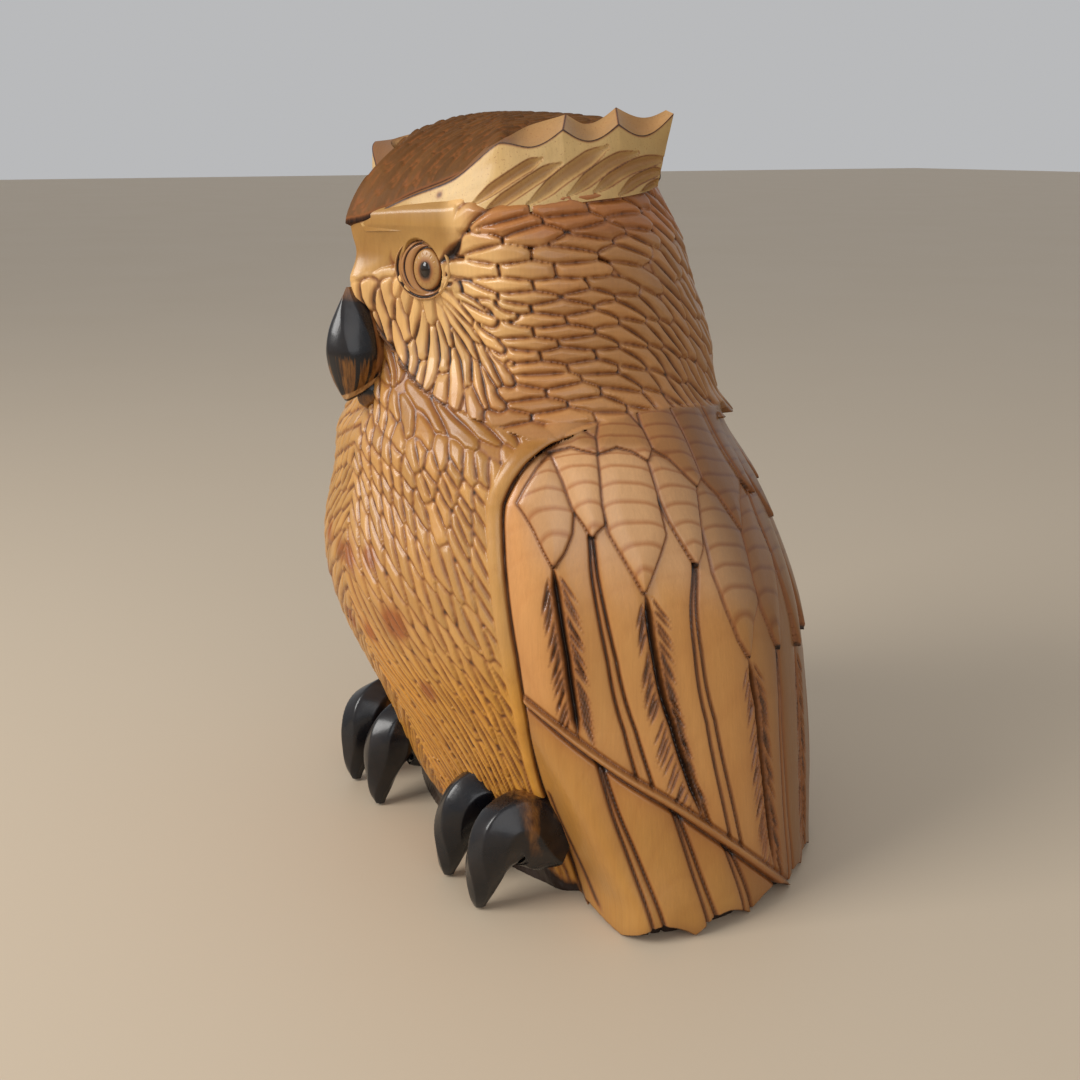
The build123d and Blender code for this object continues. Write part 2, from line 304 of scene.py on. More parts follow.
class Chart:
    """A developed surface that is carved: heights above its base in mm, scorch and tone."""

    def __init__(self, u, v, mm_per_u, seed):
        self.u, self.v = u, v
        self.U, self.V = np.meshgrid(u, v)
        self.K = np.zeros_like(self.U) + mm_per_u
        self.rng = np.random.default_rng(seed)
        self.clear(0.0)

    def clear(self, level):
        self.H = np.full_like(self.U, level)
        self.edge = np.full_like(self.U, FAR)
        self.burn = np.zeros_like(self.U)
        self.tone = np.full_like(self.U, 0.5)
        self.grain = np.full_like(self.U, 0.12)

    def layers(self):
        return [self.H, self.edge, self.burn, self.tone, self.grain]

    def set_layers(self, layers):
        self.H, self.edge, self.burn, self.tone, self.grain = layers

    def window(self, u0, u1, v0, v1):
        j0, j1 = np.searchsorted(self.u, (u0, u1))
        i0, i1 = np.searchsorted(self.v, (v0, v1))
        return slice(i0, i1), slice(j0, j1)

    def scale(self, u, v):
        """Millimetres per unit of u at a point."""
        i = min(np.searchsorted(self.v, v), len(self.v) - 1)
        j = min(np.searchsorted(self.u, u), len(self.u) - 1)
        return self.K[i, j]

    def scale_near(self, at):
        """Scale at a point, which is first held inside the block's own chart."""
        return self.scale(*np.clip(at, 0, (180, 300)))

    def along(self, points, margin, smooth=True):
        """Distance in mm, share along and side (1 right of travel) for a line."""
        p = catmull(points) if smooth else np.array(points, float)
        k = self.scale(*p.mean(0))
        w = self.window(p[:, 0].min() - margin / k, p[:, 0].max() + margin / k,
                        p[:, 1].min() - margin, p[:, 1].max() + margin)
        U, V, K = self.U[w], self.V[w], self.K[w]
        best = np.full(U.shape, 1e9)
        share = np.zeros(U.shape)
        side = np.ones(U.shape)
        spans = len(p) - 1
        for i in range(spans):
            du, dv = (p[i + 1, 0] - p[i, 0]) * K, p[i + 1, 1] - p[i, 1]
            x, y = (U - p[i, 0]) * K, V - p[i, 1]
            t = np.clip((x * du + y * dv) / (du * du + dv * dv + 1e-9), 0, 1)
            ex, ey = x - t * du, y - t * dv
            distance = np.hypot(ex, ey)
            closer = distance < best
            best[closer] = distance[closer]
            share[closer] = ((i + t) / spans)[closer]
            side[closer] = np.sign(du * ey - dv * ex)[closer]
        return w, best, share, -side

    def signed(self, points):
        """Distance from a line over the whole chart, positive right of its travel."""
        _, distance, _, side = self.along(points, 400)
        return distance * side

    def char(self, amount, w=...):
        """Scorches the chart, or a window of it, at least this much."""
        self.burn[w] = np.maximum(self.burn[w], amount)

    def cut(self, points, width, depth, burn=1.0, taper=0.2, spread=0.9, smooth=True):
        """A V groove along a line, finer at its ends, with scorched walls."""
        w, d, t, _ = self.along(points, width * 3 + 1, smooth)
        size = np.clip(np.minimum(t, 1 - t) / taper, 0.2, 1) if taper else 1.0
        self.H[w] -= depth * size * np.clip(1 - d / (width * size), 0, 1)
        self.char(burn * bell(d / (width * size * spread)), w)

    def gouge(self, points, width, depth, taper=0.25):
        """A rounded trough left by one push of a gouge, with a crisp lip."""
        w, d, t, _ = self.along(points, width * 1.6)
        size = np.clip(np.minimum(t, 1 - t) / taper, 0, 1) ** 0.5
        size = np.maximum(size, 0.35)
        share = d / (width * size)
        self.H[w] -= depth * size * np.clip(1 - share ** 2, 0, 1)
        self.char(0.75 * bell((share - 1) * width / 0.35), w)

    def feather(self, points, half_width, lift, crown, point, rank):
        """A feather along a path, convex and higher at its tip, laid over what is lower."""
        w, d, t, _ = self.along(points, half_width + 2, smooth=False)
        H = self.H[w]
        p = np.array(points, float)
        k = self.scale(*p.mean(0))
        length = np.hypot(np.diff(p[:, 0]) * k, np.diff(p[:, 1])).sum()
        width = half_width * (1 - t ** point)
        slope = half_width * point * t ** (point - 1) / length
        gap = np.where(t < 1, (width - d) / np.sqrt(1 + slope * slope), -d)
        level = rank + lift * t
        h = level + crown * (1 - (d / np.maximum(width, 1e-3)) ** 2)
        over = (gap > 0) & (h > H)
        beside = (gap <= 0) & (gap > -1.6) & (level > H)
        H[over] = h[over]
        self.edge[w][over] = gap[over]
        self.tone[w][over] = self.rng.random()
        self.edge[w][beside] = np.minimum(self.edge[w][beside], -gap[beside])

    def tessellate(self, seeds, rank, lift, crown, reach=1.7):
        """Long convex cells that grow from their seeds until they meet."""
        best = np.full_like(self.U, FAR)
        second = np.full_like(self.U, FAR)
        share = np.zeros_like(self.U)
        tone = np.full_like(self.U, 0.5)
        half = np.ones_like(self.U)
        for u, v, turn, long, wide in seeds:
            span = reach * long + 1
            k = self.scale(u, v)
            w = self.window(u - span / k, u + span / k, v - span, v + span)
            x, y = (self.U[w] - u) * self.K[w], self.V[w] - v
            ahead = (x * np.cos(turn) + y * np.sin(turn)) / long
            aside = (y * np.cos(turn) - x * np.sin(turn)) / wide
            away = np.hypot(ahead, aside)
            closer = away < best[w]
            second[w] = np.where(closer, best[w], np.minimum(second[w], away))
            best[w][closer] = away[closer]
            share[w][closer] = ahead[closer]
            tone[w][closer] = self.rng.random()
            half[w][closer] = wide
        lead = np.minimum(second, reach) - best
        rise = np.gradient(lead, self.v[1] - self.v[0], axis=0)
        run = np.gradient(lead, self.u[1] - self.u[0], axis=1) / self.K
        gap = lead / np.maximum(np.hypot(rise, run), 0.02)
        gap = np.maximum(blur(gap, 1, 1, 1) - 0.28, 0)
        inside = best < reach
        dome = 1 - (1 - np.clip(gap / (1.5 * half), 0, 1)) ** 2
        h = rank + crown * dome + lift * np.clip(share, -1.5, 1.5)
        self.H[inside] = h[inside]
        joint = smooth01((np.abs(share) - 0.75) / 0.4)
        self.edge[inside] = (gap * (1 + 0.7 * joint))[inside]
        self.tone[inside] = tone[inside]

    def cell(self, outline, rank, lift, crown):
        """A convex leaf inside a closed outline, rising towards its lower tip."""
        closed = outline + outline[:1]
        w, d, _, _ = self.along(closed, 3, smooth=False)
        U, V, H = self.U[w], self.V[w], self.H[w]
        inside = np.zeros(U.shape, bool)
        for (u0, v0), (u1, v1) in zip(closed, closed[1:]):
            if v0 != v1:
                crosses = (V > min(v0, v1)) & (V <= max(v0, v1))
                inside ^= crosses & (U < u0 + (V - v0) * (u1 - u0) / (v1 - v0))
        top, foot = max(p[1] for p in outline), min(p[1] for p in outline)
        h = rank + lift * (top - V) / (top - foot) + crown * (1 - (1 - np.minimum(d / 8, 1)) ** 2)
        H[inside] = np.maximum(h, H)[inside]
        self.edge[w][inside] = d[inside]
        self.tone[w][inside] = self.rng.random()
        self.grain[w][inside] = 1.0
        beside = ~inside & (d < 1.6)
        self.edge[w][beside] = np.minimum(self.edge[w][beside], d[beside])

    def score_edges(self, width, depth, burn):
        """Cuts and scorches a groove along every visible feather outline."""
        self.H -= depth * bell(self.edge / width)
        self.char(burn * bell(self.edge / (width * 0.85)))

    def wave(self, amount, rows, columns):
        """Slow unevenness left by hand tools."""
        noise = blur(self.rng.normal(size=self.U.shape), rows, columns)
        self.H += amount * noise / noise.std()


# ------------------------------------------------------------------ lanes of feathers
LANE_STEP = 1.5         # mm between the points of a lane
# How near to another lane a lane ends, how near it may start, and how near two seeds may be,
# each as a share of the spacing
LANE_ENDS = 0.62
LANE_STARTS = 0.96
SEED_CLEAR = 0.85


def lay_lanes(chart, seed, way, inside, spacing):
    """Evenly spaced lines along a field of directions, as carvers run their gouge."""
    taken = np.zeros((30000, 2))
    count = 0
    waiting = [np.array(seed, float)]
    lines = []

    def crowding(at):
        if not count:
            return 1e9
        k = chart.scale_near(at)
        away = (taken[:count] - at) * (k, 1)
        return np.sqrt((away ** 2).sum(1).min()) / spacing(*at)

    def follow(at, sign):
        path = []
        for _ in range(300):
            k = chart.scale_near(at)
            turn = np.radians(way(*at))
            at = at + sign * LANE_STEP * np.array((np.cos(turn) / k, np.sin(turn)))
            if not inside(*at) or crowding(at) < LANE_ENDS:
                break
            path.append(at)
        return path

    while waiting:
        start = waiting.pop(0)
        if not inside(*start) or crowding(start) < LANE_STARTS:
            continue
        line = np.array(follow(start, -1)[::-1] + [start] + follow(start, 1))
        if len(line) * LANE_STEP < 0.8 * spacing(*start):
            continue
        taken[count:count + len(line)] = line
        count += len(line)
        lines.append(line)
        for at in line[::4]:
            k = chart.scale_near(at)
            turn = np.radians(way(*at))
            across = spacing(*at) * np.array((-np.sin(turn) / k, np.cos(turn)))
            waiting += [at + across, at - across]
    return lines


def seeds_on(chart, lines, size, spacing, stretch, others=()):
    """Cell seeds along the lanes, staggered from lane to lane like bricks."""
    rng = chart.rng
    seeds = list(others)
    placed = np.array([seed[:2] for seed in seeds]).reshape(-1, 2)
    for line in lines:
        best_score, best_row = -1, []
        for phase in (np.arange(10) + rng.random()) / 10:
            at = (phase - 0.5) * size(*line[0]) / LANE_STEP
            row = []
            while at < len(line):
                if at >= 0:
                    row.append(int(at))
                at += size(*line[max(int(at), 0)]) * rng.uniform(0.82, 1.18) / LANE_STEP
            if not row:
                continue
            score = 1e9
            if len(placed):
                k = chart.scale_near(line[row[0]])
                apart = (line[row][:, None] - placed) * (k, 1)
                score = np.sqrt((apart ** 2).sum(2).min(1)).mean()
            if score > best_score:
                best_score, best_row = score, row
        for i in best_row:
            here = line[i]
            k = chart.scale_near(here)
            away = np.hypot(*((placed - here) * (k, 1)).T)
            if len(placed) and away.min() < SEED_CLEAR * spacing(*here):
                continue
            du, dv = line[min(i + 2, len(line) - 1)] - line[max(i - 2, 0)]
            long = stretch * size(*here) * rng.uniform(0.92, 1.08)
            wide = 0.5 * spacing(*here) * rng.uniform(0.92, 1.08)
            seeds.append((here[0], here[1], np.arctan2(dv, du * k), long, wide))
        placed = np.array([seed[:2] for seed in seeds]).reshape(-1, 2)
    return seeds


# ------------------------------------------------------------------ the carving itself
def face_border(azimuth):
    """Lowest height of the head feathers at an azimuth."""
    return np.interp(azimuth, [0, 5, 10, 20, 30, 40, 50, 60, 70, 80, 94, 120, 180],
                     [255, 241, 231, 221.5, 216, 212.5, 209, 207, 206, 206, 207, 205, 199])


def border_slack(azimuth):
    """How far the head feathers may hang below the border: none by the face."""
    return np.interp(azimuth, [48, 60], [0.3, 3])


def edge_at(points, position):
    points = np.array(points, float)
    return np.interp(position, points[:, 0], points[:, 1])


def from_eye(a, z):
    return np.hypot((a - EYE[0]) * HEAD_MM, z - EYE[1])


def eye_ray(a, z):
    """Direction away from the eye, in degrees."""
    return np.degrees(np.arctan2(z - EYE[1], (a - EYE[0]) * HEAD_MM))


def on_disc(a, z):
    return ((z > face_border(a) - 1) & (a > -2) & (a < edge_at(DISC_EDGE, z) + 1)
            & (z < edge_at(FOREHEAD_EDGE, a)) & (from_eye(a, z) > EYE_REACH))


def off_disc(a, z):
    return ((z > face_border(a) - 3) & (a < 187) & (z < 303) & (a > edge_at(DISC_EDGE, z) - 3)
            & (from_eye(a, z) > EYE_REACH))


def disc_way(a, z):
    """Feathers of the face fall away from the eye, and straight down beside the beak."""
    ray = eye_ray(a, z)
    ray = np.where(ray > 90, ray - 360, ray)
    beside = np.interp(z, [222, 236, 250], [-56, -70, -88])
    return ray + (beside - ray) * smooth01((25 - a) / 12) * smooth01((266 - z) / 10)


def head_way(a, z):
    """Feathers of the head run level behind the face, then sag towards the nape."""
    near = smooth01((62 - a) / 14) * smooth01((z - 256) / 8)
    start = np.interp(z, [215, 245, 265, 290], [68, 72, 80, 98])
    sag = -56 * smooth01((a - start) / 52)
    lift = 10 * smooth01((z - 276) / 12) * smooth01((80 - a) / 20)
    return sag + lift + 0.7 * eye_ray(a, z) * near


def carve_breast(chart):
    """Lanes of gouged feathers slanting down and outwards, long and fine on the belly."""
    inside = lambda a, z: (a > -7) & (a < 68) & (z > -8) & (z < face_border(a) + 5)
    throat = lambda a, z: smooth01(1 - (face_border(a) - z) / 20) * smooth01((60 - a) / 8)
    strand = lambda a: -np.interp(a, [0, 8, 15, 25, 40, 60], [70, 57, 38, 27, 24, 30])
    way = lambda a, z: (-(50 + 19 * smooth01((a - 4) / 42)) * (1 - throat(a, z))
                        + strand(a) * throat(a, z))
    spacing = lambda a, z: 4.0 - 1.4 * smooth01((118 - z) / 40) - 0.7 * throat(a, z)
    size = lambda a, z: (27 + 12 * smooth01((118 - z) / 40) - 12 * smooth01((z - 160) / 24)
                         + 18 * throat(a, z) ** 2)
    lines = lay_lanes(chart, (20, 150), way, inside, spacing)
    chart.tessellate(seeds_on(chart, lines, size, spacing, 0.24), 0.5, 0.25, 0.85, 2.6)
    chart.H = np.maximum(chart.H, 0.2)
    chart.score_edges(0.62, 0.55, 1.0)


def carve_head(chart):
    """Feathers of the head, and over them those of the raised disc of the face."""
    U, V = chart.U, chart.V
    eye_gap = from_eye(U, V)
    far = lambda a, z: 4.3 + 0.5 * smooth01((from_eye(a, z) - 18) / 30)
    far_size = lambda a, z: (23 + 3 * smooth01((from_eye(a, z) - 20) / 30)
                             - 5 * smooth01((a - 95) / 30))
    close = lambda a, z: 3.3 + 1.2 * smooth01((from_eye(a, z) - 18) / 22) * smooth01((a - 10) / 10)
    close_size = lambda a, z: 18 + 7 * smooth01((from_eye(a, z) - 18) / 22)
    lines = lay_lanes(chart, (32, 236), disc_way, on_disc, close)
    seeds = seeds_on(chart, lines, close_size, close, 0.31)
    lines = lay_lanes(chart, (90, 262), head_way, off_disc, far)
    seeds = seeds_on(chart, lines, far_size, far, 0.31, seeds)
    crown = 0.45 + 0.8 * smooth01((eye_gap - 15) / 20) * smooth01((U - 8) / 20)
    chart.tessellate(seeds, 1.0, 0.3, crown, 2.0)
    chart.score_edges(0.62, 0.7, 1.0)
    chart.burn *= 1 - 0.6 * smooth01((28 - eye_gap) / 10) * smooth01((40 - U) / 6)
    chart.H[V < face_border(U) - border_slack(U)] = -3
    # The bare forehead stands level with the feathers round it
    bare = ~(on_disc(U, V) | off_disc(U, V)) & (V > 254) & (U < 60)
    level = -3 + 4.7 * blur(bare.astype(float), 4, 4)
    lifted = chart.H < level
    chart.H = np.maximum(chart.H, level)
    chart.burn = np.where(lifted, 0.0, chart.burn)
    chart.tone = np.where(lifted, 0.5, chart.tone)
    chart.cut([(32, 270), (36.5, 273), (41, 277), (45, 282)], 2.5, 2.4, taper=0.4)
    chart.cut([(33, 262), (35.5, 262.4), (38, 263.6)], 1.0, 1.2, taper=0.4)
    border = [(0, 257), (3.5, 247), (7, 238), (12, 230.5), (20, 222.5), (30, 216.5), (42, 212)]
    chart.cut(border, 1.0, 1.4, taper=0.1, spread=0.7)
    chart.cut([(12, 276), (11, 270), (13, 265)], 0.8, 0.3, burn=0.5, taper=0.4)
    chart.H -= 2.5 * smooth01((11.6 - eye_gap) / 0.8)
    # The face swells towards the beak and meets the brow
    swell = bell(U / 13) * smooth01((V - 212) / 14) * smooth01((278 - V) / 20)
    bridge = bell(U / 5) * smooth01((V - 248) / 8) * smooth01((276 - V) / 16)
    meet = np.interp(U, [0, 5, 21, 39, 52], [1.6, 1.6, 1.4, 1.0, 0]) * smooth01((V - 268) / 14)
    chart.H += 4.0 * swell + 3.5 * bridge + meet
    # The block tucks in under the crests and the crown
    slow = smooth01((56 - U) / 10)
    chart.H -= 9 * smooth01((V - edge_at(CREST_FOOT, U) - 0.8 - 3.0 * slow) / (5 + 5 * slow))


def carve_wing(chart):
    """Long wing feathers, leaf-shaped coverts over them and mantle scales on top."""
    edges = [line_at([(47, 230), (48, 100), (52, 40), (60, 0)], HEIGHTS)]
    for slit, shaft in zip(SLITS, SHAFTS):
        edges += [line_at(slit, HEIGHTS), line_at(shaft, HEIGHTS)]
    edges.append(np.full_like(HEIGHTS, 181.0))
    lay_panels(chart, edges, 1.0, 0.5)
    chart.wave(0.12, 30, 5)
    for points in SHAFTS:
        cut_shaft(chart, points)
    for points in SLITS:
        chart.cut(points, 2.1, 4.0, taper=0.12, spread=0.85)
        cut_barbs(chart, points)
    for root, tip, width, blunt in COVERTS:
        chart.feather([root, tip], width, 2.0, 1.1, blunt, 0.8)
    for outline in WING_CELLS:
        chart.cell(outline, 0.8, 1.6, 1.2)
    for root, tip, width, blunt in MANTLE_SCALES:
        chart.feather([root, tip], width, 1.8, 1.1, blunt, 1.5)
    for outline in MANTLE_CELLS:
        chart.cell(outline, 1.2, 0.9, 1.1)
    ringed = smooth01((chart.V - 120) / 30) * smooth01((chart.U - 104) / 8)
    chart.grain = np.maximum(chart.grain, ringed)
    chart.score_edges(0.6, 0.6, 1.0)


def lay_panels(chart, edges, crown, lean):
    """Convex strips between neighbouring lines, each rising towards the next one."""
    for left, right in zip(edges, edges[1:]):
        share = (chart.U - left[:, None]) / np.maximum(right - left, 0.5)[:, None]
        inside = (share >= 0) & (share < 1)
        rise = crown * (1 - np.abs(2 * share - 1) ** 3.5) + lean * share
        chart.H[inside] = rise[inside]
        chart.tone[inside] = chart.rng.random()


def cut_shaft(chart, points):
    """A thin raised quill between two scorched cuts that part towards its foot."""
    w, d, t, _ = chart.along(points, 7)
    gap = 0.8 + 1.9 * t
    inside = d < gap
    chart.H[w][inside] = np.maximum(chart.H[w], 0.9)[inside]
    chart.H[w] -= 1.7 * bell((d - gap) / 0.6)
    chart.char(np.exp(-((d - gap) / 0.8) ** 4), w)


def cut_barbs(chart, points):
    """Slanting cuts either side of a slit, like parted barbs."""
    rng = chart.rng
    p = catmull(points)
    z = p[0, 1] - 4
    while z > p[-1, 1] + 8:
        a = np.interp(z, p[::-1, 1], p[::-1, 0])
        k = chart.scale(a, z)
        for side in (-1, 1):
            if rng.random() < 0.1:
                continue
            size = rng.uniform(10, 17)
            foot = (a + side * 2.0 / k, z + rng.uniform(-1.5, 1.5))
            bow = (a + side * 4.4 / k, z - size * 0.45)
            tip = (a + side * 7.6 / k, z - size)
            chart.cut([foot, bow, tip], 0.7, 1.2, taper=0.3, spread=0.75)
        z -= rng.uniform(2.8, 4.4)


def carve_flank(chart):
    """Broad feathers below the diagonal strip, with quills between them."""
    front = line_at([(45, 120), (50, 80), (52, 58), (56, 38), (61, 15), (65, -6)], HEIGHTS)
    rear = line_at([(99, 60), (101, 20), (110, -4)], HEIGHTS)
    edges = [front] + [line_at(points, HEIGHTS) for points in FLANK_LINES]
    lay_panels(chart, edges + [rear, rear + 40], 1.5, 0.9)
    chart.wave(0.15, 24, 6)
    chart.cut([(55.5, 56), (58.2, 42), (62.6, 24), (67.6, 4)], 1.0, 1.2, taper=0.05)
    for points in FLANK_LINES:
        cut_shaft(chart, points)


def layers_after(chart, level, carve):
    """The layers that one part of the carving leaves on a cleared chart."""
    chart.clear(level)
    carve(chart)
    return chart.layers()


def roll_border(body, U, V, wing_side):
    """Lays the rolled band between breast or head and wing over the body's layers."""
    band = np.interp(V, [10, 60, 110], [2.2, 3.0, 3.8])
    across = (wing_side + band) / band
    roll = 2.4 * np.sqrt(np.clip(1 - across ** 2, 0, 1)) * smooth01((82 - U) / 16)
    roll[wing_side > 0] = 0
    rolled = (roll > body[0]) & (wing_side > -2 * band) & (V < 216)
    for number, value in ((0, roll), (2, 0.0), (3, 0.5)):
        body[number] = np.where(rolled, value, body[number])
    lower_lip = bell((wing_side + 2 * band) / 0.7) * smooth01((100 - V) / 60)
    body[2] = np.maximum(body[2], 0.8 * lower_lip)


def carve_half(seed, core, coat):
    """All carving of one half: radius, layers and the signed lines that colours need."""
    chart = Chart(ANGLES, HEIGHTS, np.radians(1) * core, seed)
    wing_side = chart.signed(COLLAR)
    below_strip = chart.signed(STRIP)
    breast = layers_after(chart, -3.0, carve_breast)
    head = layers_after(chart, -3.0, carve_head)
    U, V = chart.U, chart.V
    on_head = smooth01(0.5 + (V - face_border(U) + border_slack(U)) / 1.5)
    use_head = (head[0] > breast[0]) & (V > face_border(U) - 12) | (on_head > 0.99)
    body = [np.where(use_head, h, b) for h, b in zip(head, breast)]
    floor = 0.3 - 4.0 * (from_eye(U, V) < 12.2)
    body[0] = np.where(V < 270, np.maximum(body[0], floor), body[0])
    roll_border(body, U, V, wing_side)

    chart.K = np.radians(1) * coat
    wing = layers_after(chart, 0.0, carve_wing)
    flank = layers_after(chart, 0.0, carve_flank)
    low = smooth01(0.5 + below_strip / 1.2)
    cover = [w + (f - w) * low for w, f in zip(wing, flank)]
    on_wing = smooth01(0.5 + wing_side / 1.6)
    # Behind the shoulder the head's lowest feathers lie over the mantle
    above = head[0] - 1.2 > cover[0] + (coat - core)
    hanging = above & (head[0] > 0.6) & (U > 74) & (V > face_border(U) - 2) & (V > 190)
    hanging = blur(hanging.astype(float), 3, 3) > 0.5
    on_wing = np.where(hanging, 0.0, on_wing)
    chart.set_layers([b + (c - b) * on_wing for b, c in zip(body, cover)])
    chart.cut(COLLAR[:12], 1.1, 2.0, taper=0.04, spread=0.8)
    carve_strip(chart, wing_side)
    carve_foot(chart, wing_side)
    radius = core + (coat - core) * on_wing + chart.H
    return chart, radius, wing_side, below_strip


def carve_strip(chart, wing_side):
    """The raised diagonal band over the wing, dark underneath."""
    w, d, t, side = chart.along(STRIP, 8)
    wide = 1.3 + 1.0 * t
    inside = (d < wide) & (wing_side[w] > 0)
    band = 3.2 * np.clip(1 - (d / wide) ** 4, 0, 1) ** 0.5
    chart.H[w] = np.where(inside, np.maximum(chart.H[w], band), chart.H[w])
    shadow = bell((d - wide - 0.4) / 0.8) * smooth01(wing_side[w] / 1.5)
    chart.H[w] -= (1.0 + 0.8 * (side > 0)) * shadow
    chart.burn[w] = np.where(inside & (d < wide - 0.2), 0.0, chart.burn[w])
    chart.char((0.7 + 0.3 * (side > 0)) * shadow, w)
    chart.tone[w] = np.where(inside, 0.3, chart.tone[w])


def carve_foot(chart, wing_side):
    """Scallops under the long feathers, their undercut charred dark as painted shade, and the scorched
    hollow between the toes, darkened further as painted shade.
    """
    arc = np.zeros_like(chart.U)
    for left, right in zip(FOOT_TIPS, FOOT_TIPS[1:]):
        height = 7.0 if right < 112 else 4.5
        share = (chart.U - left) / (right - left)
        bow = height * np.sin(np.pi * np.clip(share, 0, 1))
        arc = np.where((share >= 0) & (share < 1), bow, arc)
    front = (chart.U < FOOT_TIPS[0]) & (wing_side > 0)
    arc = np.where(front, 0.5 * (FOOT_TIPS[0] - chart.U), arc)
    under = smooth01((arc + 0.6 - chart.V) / 1.2) * smooth01(wing_side / 2)
    chart.H -= 7.0 * under
    # Painted shade: the undercut beneath the scallops is charred dark
    chart.char(0.9 * under)
    toes = np.interp(chart.U, [0, 30, 45, 50, 55, 60], [13, 17, 19, 15, 10, 5])
    dark = smooth01((toes + 3 - chart.V) / 6) * smooth01(-wing_side / 2)
    # Between the toes the wood is scorched, and the char here also stands for painted shade near the
    # table
    chart.char(0.95 * dark)
    chart.H *= 1 - 0.85 * dark
    chart.H -= 3.0 * smooth01((toes - 4 - chart.V) / 8) * smooth01(-wing_side / 2)


# ------------------------------------------------------------------ colours over the chart
# Azimuth, height and size in mm of the red-brown patches on the breast
RED_PATCHES = [(2, 145, 7), (13, 149, 6), (20, 124, 8), (6, 112, 5), (24, 92, 5)]


def paint(colour, share, target):
    """Blends a target colour over a colour field."""
    return colour + (np.array(target) - colour) * share[..., None]


def head_colour(U, V):
    """Palest round the eye, brown towards the nape, there as painted shade, and brown under the crest.
    """
    colour = paint(np.zeros(U.shape + (3,)) + CHEEK, smooth01((from_eye(U, V) - 30) / 38), HEAD)
    # Painted shade: the head darkens towards the nape
    colour = paint(colour, smooth01((U - 88) / 40), NAPE_SHADE_BROWN)
    forehead = smooth01((V - 262 - 0.15 * U) / 10) * smooth01((44 - U) / 8)
    colour = paint(colour, forehead, FOREHEAD)
    return paint(colour, 0.7 * smooth01((V - 276) / 10) * smooth01((U - 44) / 10), RED_PATCH)


def wing_colour(U, V, below_strip):
    """Pale coverts over honey feathers, with painted shade darkening them towards the back, and darker
    below the strip.
    """
    colour = np.zeros(U.shape + (3,)) + PRIMARY
    covert_foot = np.interp(U, [50, 75, 100, 120], [150, 150, 125, 100])
    colour = paint(colour, smooth01((V - covert_foot) / 20), COVERT)
    colour = paint(colour, smooth01((62 - U) / 8) * smooth01((V - 90) / 20), PANEL)
    mantle_foot = np.interp(U, [55, 90, 103, 120], [202, 197, 182, 170])
    colour = paint(colour, smooth01((V - mantle_foot) / 5), MANTLE)
    # Painted shade: the wing, and the flank below it, turn darker towards the back
    colour = paint(colour, smooth01((U - 92) / 20), REAR_SHADE_BROWN)
    low = paint(np.zeros_like(colour) + FLANK, 0.6 * smooth01((U - 85) / 20), REAR_SHADE_BROWN)
    colour = paint(colour, smooth01(0.5 + below_strip / 2), low)
    stain = np.exp(-np.clip(below_strip, 0, None) / 9) * (below_strip > 0)
    return paint(colour, 0.55 * stain, RED_PATCH)


def zone_colour(chart, wing_side, below_strip, rng):
    """Base wood colour over half the chart, with stains, pale places and painted shade towards the
    back.
    """
    U, V = chart.U, chart.V
    colour = np.zeros(U.shape + (3,)) + BREAST
    colour = paint(colour, smooth01((118 - V + 0.3 * U) / 40), BELLY)
    colour = paint(colour, smooth01((V - face_border(U) + 22) / 16), THROAT)
    colour = paint(colour, smooth01((60 - V) / 50) * 0.5, BELLY_LOW)
    cloud = blur(rng.normal(size=U.shape), 9, 9)
    cloud /= cloud.std()
    patches = np.max([bell(np.hypot((U - a) * 1.9, V - z) / size) for a, z, size in RED_PATCHES],
                     axis=0)
    colour = paint(colour, smooth01(patches * 1.3 + 0.25 * cloud * patches), RED_PATCH)
    on_head = smooth01((V - face_border(U) + 1.5 + np.interp(U, [45, 60], [0, 2.5])) / 3)
    colour = paint(colour, on_head, head_colour(U, V))
    colour = paint(colour, smooth01(0.5 + wing_side / 2), wing_colour(U, V, below_strip))
    return np.clip(colour, 0, 1)


# ------------------------------------------------------------------ mesh helpers
def build_mesh(name, verts, quads, tris=(), layers=None, normals=None, crease=None):
    """A mesh object from points in mm, with named point layers."""
    quads = np.asarray(quads, np.int32).reshape(-1, 4)
    tris = np.asarray(tris, np.int32).reshape(-1, 3)
    mesh = bpy.data.meshes.new(name)
    mesh.vertices.add(len(verts))
    mesh.vertices.foreach_set("co", (np.asarray(verts) * MM).astype(np.float32).ravel())
    corners = np.concatenate([quads.ravel(), tris.ravel()])
    mesh.loops.add(len(corners))
    mesh.loops.foreach_set("vertex_index", corners)
    starts = np.concatenate([np.arange(len(quads)) * 4, len(quads) * 4 + np.arange(len(tris)) * 3])
    mesh.polygons.add(len(starts))
    mesh.polygons.foreach_set("loop_start", starts.astype(np.int32))
    mesh.polygons.foreach_set("use_smooth", np.ones(len(starts), bool))
    mesh.update(calc_edges=True)
    mesh.validate()
    for key, data in (layers or {}).items():
        data = np.asarray(data, np.float32)
        if data.ndim == 2:
            attribute = mesh.attributes.new(key, "FLOAT_COLOR", "POINT")
            rgba = np.concatenate([data, np.ones((len(data), 1), np.float32)], axis=1)
            attribute.data.foreach_set("color", rgba.ravel())
        else:
            mesh.attributes.new(key, "FLOAT", "POINT").data.foreach_set("value", data)
    if normals is not None:
        mesh.normals_split_custom_set_from_vertices(normals.tolist())
    if crease is not None:
        mesh.set_sharp_from_angle(angle=np.radians(crease))
    obj = bpy.data.objects.new(name, mesh)
    bpy.context.scene.collection.objects.link(obj)
    return obj


def finish_piece(obj, material, slot, *nodes):
    obj.data.materials.append(material)
    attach(obj, "root")
    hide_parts(*nodes)


def with_caps(field, caps=None):
    """A grid's values as one list, followed by those of the two points that close its ends."""
    if caps is None:
        caps = field[0, 0], field[-1, 0]
    return np.concatenate([field.reshape((-1,) + field.shape[2:]), np.stack(caps)])


